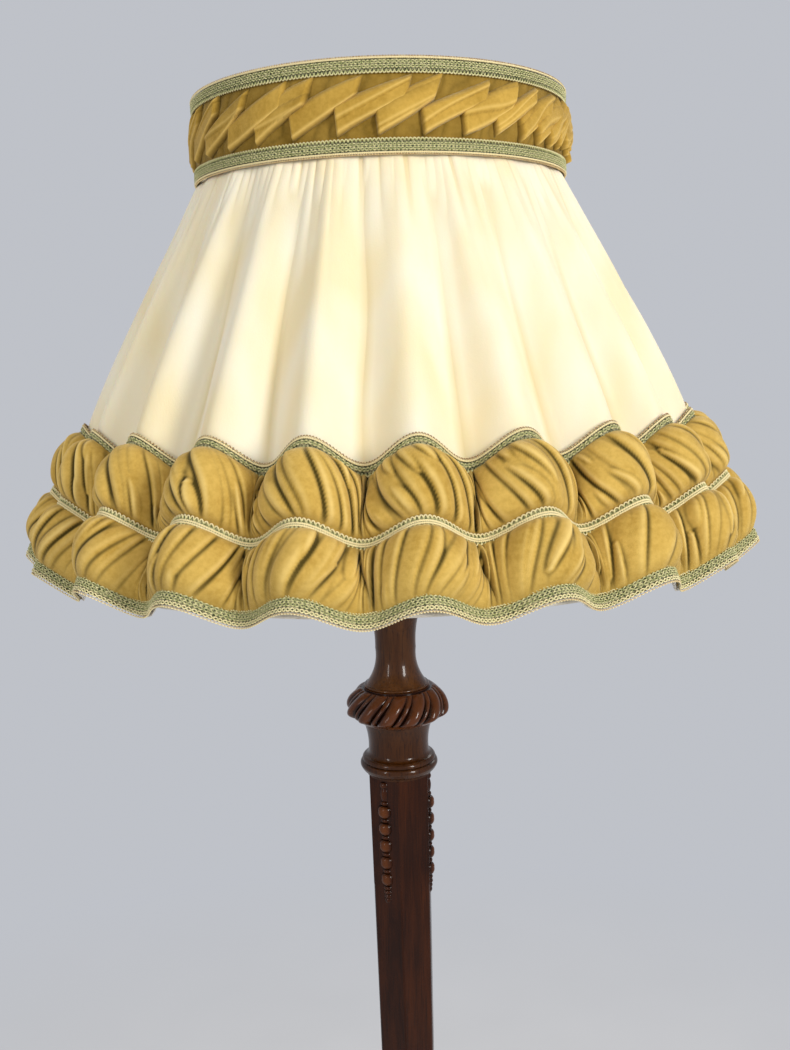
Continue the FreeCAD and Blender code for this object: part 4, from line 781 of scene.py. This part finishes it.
def velvet_row(name, high, low, under_high, under_low, puff, plan, seed, count, fold_depth):
    """One row of puffs from mean height high to low, folded after a plan."""
    rng = np.random.default_rng(seed)
    per_puff, rows = 120, 76
    width, tall = 0.067, high - low
    folds = Folds(rows, per_puff, width, tall)
    for k in range(LOBES):
        tilt = rng.uniform(-0.04, 0.04)
        for i in range(count):
            share = (i + 0.5 + rng.uniform(-0.38, 0.38)) / count
            start = along(share, *plan["starts"]) + rng.uniform(-0.03, 0.03, 2)
            end = along(share, *plan["ends"]) + rng.uniform(-0.04, 0.04, 2)
            way = (end - start)[::-1] * (1, -1)
            bend = plan["bulge"] * (share - 0.38) * 2 + tilt + rng.uniform(-0.05, 0.05)
            folds.add(k, start, (start + end) / 2 + way * bend, end, rng.uniform(0.0040, 0.0110),
                      plan["facing"] * rng.uniform(0.0020, 0.0034), fold_depth * rng.uniform(0.55, 1.0))
        for _ in range(6):
            share = rng.uniform(0.08, 0.95)
            start, end = along(share, *plan["starts"]), along(share + rng.uniform(-0.08, 0.08), *plan["ends"])
            first, last = (0.0, rng.uniform(0.35, 0.7)) if rng.uniform() < 0.5 else (rng.uniform(0.3, 0.65), 1.0)
            start, end = start + (end - start) * first, start + (end - start) * last
            folds.add(k, start, (start + end) / 2 + rng.uniform(-0.03, 0.03, 2), end,
                      rng.uniform(0.003, 0.006), plan["facing"] * rng.uniform(0.0016, 0.0026),
                      fold_depth * rng.uniform(0.75, 1.15))
        # curls in the pinch on the puff's right
        lean = rng.uniform(-0.05, 0.05)
        folds.add(k, np.array([0.970 + lean, 0.02]), np.array([1.05 - lean, 0.30]), np.array([0.98, 0.62]),
                  0.0042, 0.0030, fold_depth * rng.uniform(0.9, 1.3))
        folds.add(k, np.array([1.030 - lean, 0.36]), np.array([0.93 + lean, 0.72]), np.array([1.02, 1.0]),
                  0.0040, -0.0030, fold_depth * rng.uniform(0.8, 1.2))
    folds.finish()
    angle = np.linspace(0, 2 * math.pi, per_puff * LOBES, endpoint=False)[None, :] + math.pi / LOBES
    t = np.linspace(0, 1, rows)[:, None]
    z = high + (low - high) * t
    # the puff itself: full between the braids, and pinched along a line that leans with the folds
    bow = smooth_noise(rng, LOBES, 3)
    lane = np.arange(per_puff * LOBES)[None, :] / per_puff
    s = lane + (0.05 * plan["facing"] * np.sin(2 * math.pi * t) + 0.05 * bow(np.round(lane), t * 2 + 0 * lane))
    edge_high = np.clip((high - z) / under_high - 0.6, 0, None)
    edge_low = np.clip((z - low) / under_low - 0.6, 0, None)
    full = np.clip(1 - np.exp(-edge_high * 1.8), 0, 1) * np.clip(1 - np.exp(-edge_low * 1.8), 0, 1)
    arch = np.sin(math.pi * np.clip(t, 0, 1)) ** 0.42
    pinch = np.abs(np.sin(math.pi * s)) ** 0.44
    swell = puff * full * arch * (0.16 + 0.84 * pinch)
    out = 0.0014 + swell + full * (folds.height - 0.32 * fold_depth) * (0.70 + 0.30 * pinch)
    # Painted shade in the creases of the folds, in the pinches and close under the braids; the crests of the folds get
    # a painted highlight below.
    in_pinch = np.clip(1 - pinch * 1.5, 0, 1)
    crease_shade = np.clip(0.95 * folds.crease_shade * full + 0.65 * in_pinch * full + 0.25 * (1 - full), 0, 1)
    base = cloth_point(angle, z, 0.0)
    points = base + grid_normals(base) * np.maximum(out, 0.0006)[..., None]
    piece = make_mesh(name, points.reshape(-1, 3), grid_faces(rows, per_puff * LOBES, True, flip=True),
                      {"crease_shade": crease_shade, "crest_highlight": folds.crest_highlight * full * 0.8})
    dress(piece, gold_velvet)
    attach(piece, "shade")
    return piece


upper_row = velvet_row("velvet_upper_row", upper_z - 0.0004, middle_z + 0.0004, 0.0040, 0.0028, 0.0092,
                       UPPER_PLAN, 7, 12, 0.0044)
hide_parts("flounce_upper_velvet")
lower_row = velvet_row("velvet_lower_row", middle_z - 0.0004, hem_z + 0.0012, 0.0028, 0.0094, 0.0088,
                       LOWER_PLAN, 19, 11, 0.0040)
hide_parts("flounce_lower_velvet")
print("velvet rows:", len(upper_row.data.polygons), "and", len(lower_row.data.polygons), "faces")

# %% [markdown]
# ## Velvet tucks of the top band
#
# Round the collar the velvet lies in flat tucks. Each tuck is a blade that leans to the right: it starts in a point at
# the lower braid, has a short upright edge there, and ends in a point at the upper braid. Between the points the velvet
# behind shows, painted darker as shade. Towards one side the maker's tucks come closer and crumple. The ground is one
# puckered ring, and each blade is a folded pad of its own laid over it, which gives the crisp overlaps. The lower edge
# of a blade stands up steeply, with a painted highlight along it, and its upper edge slopes away. The rim of each blade
# and the hollows between its pleats get painted shade.

# %% Top band
def band_place(arc, z, out):
    """Points on the band: arc is the distance round it in metres, out the distance off the backing."""
    r = 0.1319 + out
    turn = arc / 0.1360
    return np.stack([r * np.cos(turn), r * np.sin(turn), z], -1)


def pleats(rng, u, v, count, rise):
    """Fold lines that run along a blade: heights, and how near each point is to a line, which places a painted
    highlight.
    """
    height, crest_highlight = np.zeros(np.broadcast(u, v).shape), np.zeros(np.broadcast(u, v).shape)
    for _ in range(count):
        begin, end = rng.uniform(0.05, 0.95), rng.uniform(0.10, 0.90)
        centre = begin + (end - begin) * u + rng.uniform(-0.12, 0.12) * np.sin(math.pi * u)
        side = v - centre
        back, front = rng.uniform(0.30, 0.60), rng.uniform(0.10, 0.18)
        off = np.where(side > 0, side / back, -side / front)
        ridge = rise * rng.uniform(0.6, 1.0) * np.sqrt(np.clip(1 - off ** 2, 0, 1))
        crest_highlight = np.where(ridge > height, np.exp(-(side / 0.05) ** 2), crest_highlight)
        height = np.maximum(height, ridge)
    return height, crest_highlight


def how_crumpled(turn):
    """How crumpled the tucks are at an angle: at two places round the band, one wide and one narrow."""
    wide = max(0.0, math.cos(turn + math.radians(14))) ** 3
    narrow = max(0.0, math.cos(turn - math.radians(140))) ** 8
    return min(1.0, wide + 0.8 * narrow)


def velvet_band():
    rng = np.random.default_rng(5)
    low, high = collar_z + 0.0030, top_z - 0.0016
    around = 2 * math.pi * 0.1360
    points, faces, crease_shade, crest_highlights, count = [], [], [], [], 0
    rows, columns = 34, 1440
    arc = np.linspace(0, around, columns, endpoint=False)[None, :]
    t = np.linspace(0, 1, rows)[:, None]
    z = low + (high - low) * t
    sway = smooth_noise(rng, 60, 7)
    lane = arc / around * 60 - t * 2.4 + 0.7 * sway(arc / around * 60, t * 4)
    pucker = np.abs(np.sin(math.pi * lane)) ** 0.6
    swell = np.clip(np.minimum(t, 1 - t) * 9 - 1.1, 0, 1)
    out = 0.0008 + swell * (0.0003 + 0.0006 * pucker)
    ring = band_place(arc * np.ones_like(t), z * np.ones_like(arc), out * np.ones_like(arc))
    points.append(ring.reshape(-1, 3))
    faces.append(grid_faces(rows, columns, True))
    # Painted shade: the ground between the blades is darkened, more so between the puckers.
    crease_shade.append(np.clip(0.44 + 0.22 * (1 - pucker) * np.ones_like(out), 0, 1).ravel())
    crest_highlights.append(np.zeros(rows * columns))
    count += rows * columns
    u = np.linspace(0, 1, 52)[None, :]
    v = np.linspace(0, 1, 27)[:, None]
    first = low + 0.0086
    tall = (high - 0.0086) - first
    starts, place = [], 0.0
    while place < around - 0.010:
        starts.append(place)
        place += rng.uniform(0.0250, 0.0300) * (1 - 0.50 * how_crumpled(place / 0.1360))
    for start in starts:
        crumpled = how_crumpled(start / 0.1360)
        reach = rng.uniform(0.043, 0.052) * (1 - 0.25 * crumpled)
        lift = rng.uniform(-0.002, 0.003) * crumpled
        toe = (start, first - 0.0012 + lift)
        heel = (start - rng.uniform(-0.001, 0.003),
                first + tall * rng.uniform(0.42, 0.56) * (1 - 0.3 * crumpled) + lift)
        point = (start + reach, first + tall * rng.uniform(0.98, 1.05))
        nose = (start + reach - rng.uniform(0.003, 0.008), first + tall * rng.uniform(0.52, 0.68))
        bow = rng.uniform(-0.0010, 0.0028)
        lower_a = toe[0] + (nose[0] - toe[0]) * u
        lower_z = toe[1] + (nose[1] - toe[1]) * u ** 0.94 - bow * np.sin(math.pi * u)
        upper_a = heel[0] + (point[0] - heel[0]) * u
        upper_z_line = (heel[1] + (point[1] - heel[1]) * u ** 1.04
                        + rng.uniform(-0.001, 0.003) * np.sin(math.pi * u))
        a = lower_a + (upper_a - lower_a) * v
        zz = lower_z + (upper_z_line - lower_z) * v
        a = a + crumpled * 0.0016 * np.sin(v * 5 + rng.uniform(0, 6)) * np.sin(math.pi * u)
        zz = zz + crumpled * 0.0016 * np.sin(u * rng.uniform(5, 10) + rng.uniform(0, 6)) * np.sin(math.pi * v)
        rim = (np.sqrt(np.clip(v * 9, 0, 1)) * np.clip((1 - v) * 5.0, 0, 1) ** 0.6
               * np.sqrt(np.clip(u * 26, 0, 1)) * np.sqrt(np.clip((1 - u) * 16, 0, 1)))
        height, crest_highlight = pleats(rng, u, v, int(rng.integers(0, 2) + 2.5 * crumpled), 0.0012 + 0.0016 * crumpled)
        soft = 0.0005 * np.sin(u * rng.uniform(4, 9) + rng.uniform(0, 6)) * np.ones_like(v)
        thick = 0.0016 + rim * (0.0046 - 0.0016 * v + height + soft)
        pad = band_place(a, zz, thick)
        points.append(pad.reshape(-1, 3))
        faces.append(grid_faces(27, 52, False, count))
        # Painted shade round the rim of each blade and between its pleats; painted highlight along its lower edge and
        # its fold lines.
        between = np.clip(1 - height / 0.0008, 0, 1) * np.clip(height * 4000, 0, 1)
        band_hollow_shade = 0.65 * (1 - rim) ** 1.5 + 0.45 * between
        crease_shade.append(np.clip(band_hollow_shade, 0, 1).ravel())
        edge = np.exp(-((v - 0.10) / 0.07) ** 2) * np.ones_like(u)
        crest_highlights.append((np.maximum(edge, 0.7 * crest_highlight) * rim * 0.6).ravel())
        count += pad.shape[0] * pad.shape[1]
    piece = make_mesh("velvet_band_tucks", np.concatenate(points), np.concatenate(faces),
                      {"crease_shade": np.concatenate(crease_shade), "crest_highlight": np.concatenate(crest_highlights)})
    dress(piece, band_velvet_finish)
    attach(piece, "shade")
    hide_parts("band_velvet")
    return piece


band = velvet_band()
print("band:", len(band.data.polygons), "faces")

# %% [markdown]
# ## Braids
#
# A gimp braid is a few cords, side by side, held by a thread that loops over the edge. Seen close,
# there is a row of loops, a rope of green, a cream cord and a row of tiny dots. Each is one long
# thread here, waved or coiled as it goes round, and laid on a strip of tape.

# %% Braid maker
def braid(name, place, length, high, low, rows, node, body="shade", tape_tint=0.0):
    """place(angle, z, out) gives points; rows is a list of (how far up the braid, kind, tint)."""
    threads = Threads()
    width = high - low

    def lay(z_share, out, angle):
        point = place(angle, low + width * z_share, out)
        off = place(angle, low + width * z_share, out + 0.001) - point
        return point, unit(off)

    # Along each thread the tint rises and falls with the twist, and on the loops it rises towards cream at the tips:
    # painted highlight and shade.
    for share, kind, tint in rows:
        if kind == "cord":
            turns = int(length / 0.0024)
            n = turns * 6
            k = np.arange(n)
            angle = k * 2 * math.pi / n
            swing = 2 * math.pi * k / 6
            for ply in (0.0, math.pi):
                line, off = lay(share + 0.00030 * np.cos(swing + ply) / width,
                                0.0021 + 0.0003 * np.sin(swing + ply), angle)
                threads.add(line, off, 0.00038, sides=4, tint=tint + 0.2 * np.sin(swing + ply))
        elif kind == "rope":
            turns = int(length / 0.0050)
            n = turns * 8
            k = np.arange(n)
            angle = k * 2 * math.pi / n
            swing = 2 * math.pi * k / 8
            for ply in (0.0, math.pi):
                line, off = lay(share + 0.00085 * np.cos(swing + ply) / width,
                                0.0019 + 0.00035 * np.sin(2 * swing + ply), angle)
                threads.add(line, off, 0.00044, sides=4, tint=tint + 0.55 * np.cos(2 * swing))
        elif kind in ("loops up", "loops down"):
            way = 1 if kind == "loops up" else -1
            turns = int(length / 0.0025)
            n = turns * 8
            k = np.arange(n)
            swing = 2 * math.pi * k / 8
            angle = (k + 1.35 * np.sin(swing)) * 2 * math.pi / n
            line, off = lay(share + way * 0.00105 * np.cos(swing) / width,
                            0.0017 + 0.0002 * np.sin(swing), angle)
            threads.add(line, off, 0.00050, sides=4, tint=tint + 0.65 * np.clip(np.cos(swing), -0.6, 1))
        elif kind == "dots":
            turns = int(length / 0.0018)
            n = turns * 5
            k = np.arange(n)
            angle = k * 2 * math.pi / n
            swing = 2 * math.pi * k / 5
            line, off = lay(share + 0.00035 * np.cos(swing) / width, 0.0016 + 0.0003 * np.sin(swing), angle)
            threads.add(line, off, 0.00036, sides=4, tint=tint + 0.4 * np.cos(swing))
    piece = threads.mesh(name)
    tape_columns = 660
    tape_angle = np.linspace(0, 2 * math.pi, tape_columns, endpoint=False)[None, :]
    share = np.array([0.12, 0.16, 0.5, 0.84, 0.88])[:, None]
    out = np.array([0.0006, 0.0014, 0.0016, 0.0014, 0.0006])[:, None]
    tape = place(tape_angle, low + width * share, out)
    # The tape's tint 0 is dark olive: painted shade for the gaps between the threads.
    tape_piece = make_mesh(name + "_tape", tape.reshape(-1, 3), grid_faces(5, tape_columns, True),
                           {"tint": np.full(5 * tape_columns, tape_tint)})
    for each in (piece, tape_piece):
        dress(each, braid_thread)
        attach(each, body)
    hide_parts(node)
    print(name, len(piece.data.polygons), "faces")
    return piece


def on_flounce(angle, z, out):
    return cloth_point(angle, z, out + 0.0014)


def on_band(angle, z, out):
    angle, z, out = np.broadcast_arrays(angle, z, out)
    r = 0.1329 + out
    return np.stack([r * np.cos(angle), r * np.sin(angle), z * np.ones_like(angle)], -1)


# %% Lay the five braids
band_length = 2 * math.pi * 0.1345
braid("band_upper_braid", on_band, band_length, top_z, top_z - 0.0102,
      [(0.965, "dots", 2.8), (0.87, "cord", 2.0), (0.64, "rope", 1.0), (0.38, "rope", 1.0),
       (0.12, "loops down", 1.0)],
      "band_upper_trim")
braid("band_lower_braid", on_band, band_length, collar_z + 0.0098, collar_z - 0.0004,
      [(0.88, "loops up", 1.0), (0.63, "rope", 1.0), (0.38, "rope", 1.0), (0.15, "cord", 2.0),
       (0.045, "dots", 2.7)],
      "band_lower_trim")
braid("flounce_upper_braid", on_flounce, 1.47, upper_z + 0.0042, upper_z - 0.0042,
      [(0.965, "dots", 2.9), (0.84, "cord", 2.0), (0.55, "rope", 1.0), (0.17, "loops down", 1.05)],
      "flounce_upper_trim")
braid("flounce_middle_braid", on_flounce, 1.62, middle_z + 0.0030, middle_z - 0.0030,
      [(0.86, "loops up", 1.5), (0.60, "cord", 1.9), (0.40, "cord", 1.9), (0.14, "loops down", 1.5)],
      "flounce_middle_trim", tape_tint=0.4)
braid("hem_braid", on_flounce, 1.74, hem_z + 0.0104, hem_z + 0.0002,
      [(0.94, "dots", 1.5), (0.77, "rope", 1.0), (0.54, "rope", 1.0), (0.28, "rope", 1.75), (0.07, "dots", 2.4)],
      "hem_trim")

# %% [markdown]
# ## Baize
#
# A disc of green baize is glued under the base, so that the iron doesn't mark the floor.

# %% Baize under the base
baize_low, baize_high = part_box("baize_disc")
felt_rings = np.array([0.008, 0.0085, 0.03, 0.06, 0.088, 0.0895, 0.09, 0.0895, 0.088, 0.06, 0.03,
                       0.0085, 0.008])
felt_levels = np.array([0.3, 0.0, 0.0, 0.05, 0.0, 0.1, 0.5, 0.95, 1.0, 1.0, 1.0, 1.0, 0.7])
felt_angle = np.linspace(0, 2 * math.pi, 144, endpoint=False)[None, :]
felt_z = baize_low[2] + (baize_high[2] - baize_low[2]) * felt_levels[:, None] * np.ones_like(felt_angle)
felt_points = np.stack([felt_rings[:, None] * np.cos(felt_angle),
                        felt_rings[:, None] * np.sin(felt_angle), felt_z], -1)
felt_faces = grid_faces(len(felt_rings), 144, True)
closing = grid_faces(2, 144, True)
closing = np.where(closing < 144, closing + 144 * (len(felt_rings) - 1), closing - 144)
felt = make_mesh("baize_pad", felt_points.reshape(-1, 3), np.concatenate([felt_faces, closing]))
dress(felt, baize_cloth)
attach(felt, "stand")
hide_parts("baize_disc")
print("baize ready")

# %% [markdown]
# ## Studio
#
# The floor is a pale plane that catches the lamp's shadow. Far from the lamp it takes on the colour
# of the background, so that no horizon shows. The background is a pale blue grey that only the
# camera, glossy and see-through rays meet, so it doesn't add light. Soft panels light the lamp from
# both sides, as the windows of a room would.

# %% Floor and background
BACKGROUND = (0.520, 0.538, 0.580)
floor_angle = np.linspace(0, 2 * math.pi, 96, endpoint=False)[None, :]
floor_rings = np.array([0.001, 0.5, 1.0, 2.0, 4.0, 8.0, 30.0])[:, None]
floor_points = np.stack([floor_rings * np.cos(floor_angle), floor_rings * np.sin(floor_angle),
                         np.zeros((7, 96))], -1)
floor = make_mesh("floor", floor_points.reshape(-1, 3), grid_faces(7, 96, True))
pale = Finish("pale floor", Roughness=0.9, Specular_IOR_Level=0.1)
pale.colour(pale.ramp(pale.noise(3.0, 2.0), (0.3, (0.60, 0.61, 0.63)), (0.7, (0.64, 0.65, 0.67))))
far = pale.node("ShaderNodeVectorMath", operation="LENGTH")
pale.link(pale.place, far.inputs[0])
fade = pale.band(far.outputs["Value"], 0.9, 2.2)
path = pale.node("ShaderNodeLightPath")
shown = pale.math("MAXIMUM", path.outputs["Is Camera Ray"],
                  pale.math("MAXIMUM", path.outputs["Is Glossy Ray"], path.outputs["Is Transmission Ray"]))
glow = pale.node("ShaderNodeEmission")
glow.inputs["Color"].default_value = (*BACKGROUND, 1.0)
join = pale.node("ShaderNodeMixShader")
pale.link(pale.math("MULTIPLY", fade, shown), join.inputs["Fac"])
pale.link(pale.shader.outputs["BSDF"], join.inputs[1])
pale.link(glow.outputs["Emission"], join.inputs[2])
pale.link(join.outputs["Shader"], pale.tree.nodes["Material Output"].inputs["Surface"])
dress(floor, pale)
floor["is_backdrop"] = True

world = bpy.data.worlds.new("studio")
bpy.context.scene.world = world
world.use_nodes = True
sky = world.node_tree
sky.nodes.clear()
sky_path = sky.nodes.new("ShaderNodeLightPath")
seen_light = sky.nodes.new("ShaderNodeBackground")
seen_light.inputs["Color"].default_value = (*BACKGROUND, 1.0)
seen_light.inputs["Strength"].default_value = 1.0
soft_light = sky.nodes.new("ShaderNodeBackground")
soft_light.inputs["Color"].default_value = (1.0, 0.975, 0.955, 1.0)
soft_light.inputs["Strength"].default_value = 0.60
first = sky.nodes.new("ShaderNodeMath"); first.operation = "MAXIMUM"
second = sky.nodes.new("ShaderNodeMath"); second.operation = "MAXIMUM"
sky.links.new(sky_path.outputs["Is Glossy Ray"], first.inputs[0])
sky.links.new(sky_path.outputs["Is Transmission Ray"], first.inputs[1])
sky.links.new(sky_path.outputs["Is Camera Ray"], second.inputs[0])
sky.links.new(first.outputs[0], second.inputs[1])
sky_mix = sky.nodes.new("ShaderNodeMixShader")
sky_out = sky.nodes.new("ShaderNodeOutputWorld")
sky.links.new(second.outputs[0], sky_mix.inputs["Fac"])
sky.links.new(soft_light.outputs[0], sky_mix.inputs[1])
sky.links.new(seen_light.outputs[0], sky_mix.inputs[2])
sky.links.new(sky_mix.outputs[0], sky_out.inputs["Surface"])
bpy.context.scene.view_settings.view_transform = "Standard"


# %% Lights
def panel(name, place, aim, size, watts, colour):
    light = bpy.data.lights.new(name, "AREA")
    light.shape = "RECTANGLE"
    light.size, light.size_y = size
    light.energy = watts
    light.color = colour
    lamp = bpy.data.objects.new(name, light)
    bpy.context.scene.collection.objects.link(lamp)
    lamp.location = place
    lamp.rotation_mode = "QUATERNION"
    lamp.rotation_quaternion = (Vector(aim) - Vector(place)).to_track_quat("-Z", "Y")


panel("window right", (2.0, -2.0, 2.1), (0, 0, 1.35), (0.50, 1.4), 60, (1.0, 0.97, 0.93))
panel("window left", (-1.7, -2.2, 2.0), (0, 0, 1.35), (0.26, 1.6), 17, (1.0, 0.98, 0.96))
panel("high back", (0.4, 2.0, 2.9), (0, 0, 1.4), (1.8, 1.2), 22, (1.0, 0.98, 0.95))
print("studio ready")

# %% Finish
visual_box = [list(corner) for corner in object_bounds()]
for name, box in (("CAD", cad_box), ("visual", visual_box)):
    print(name, "size", [round(high - low, 4) for low, high in zip(*box)])
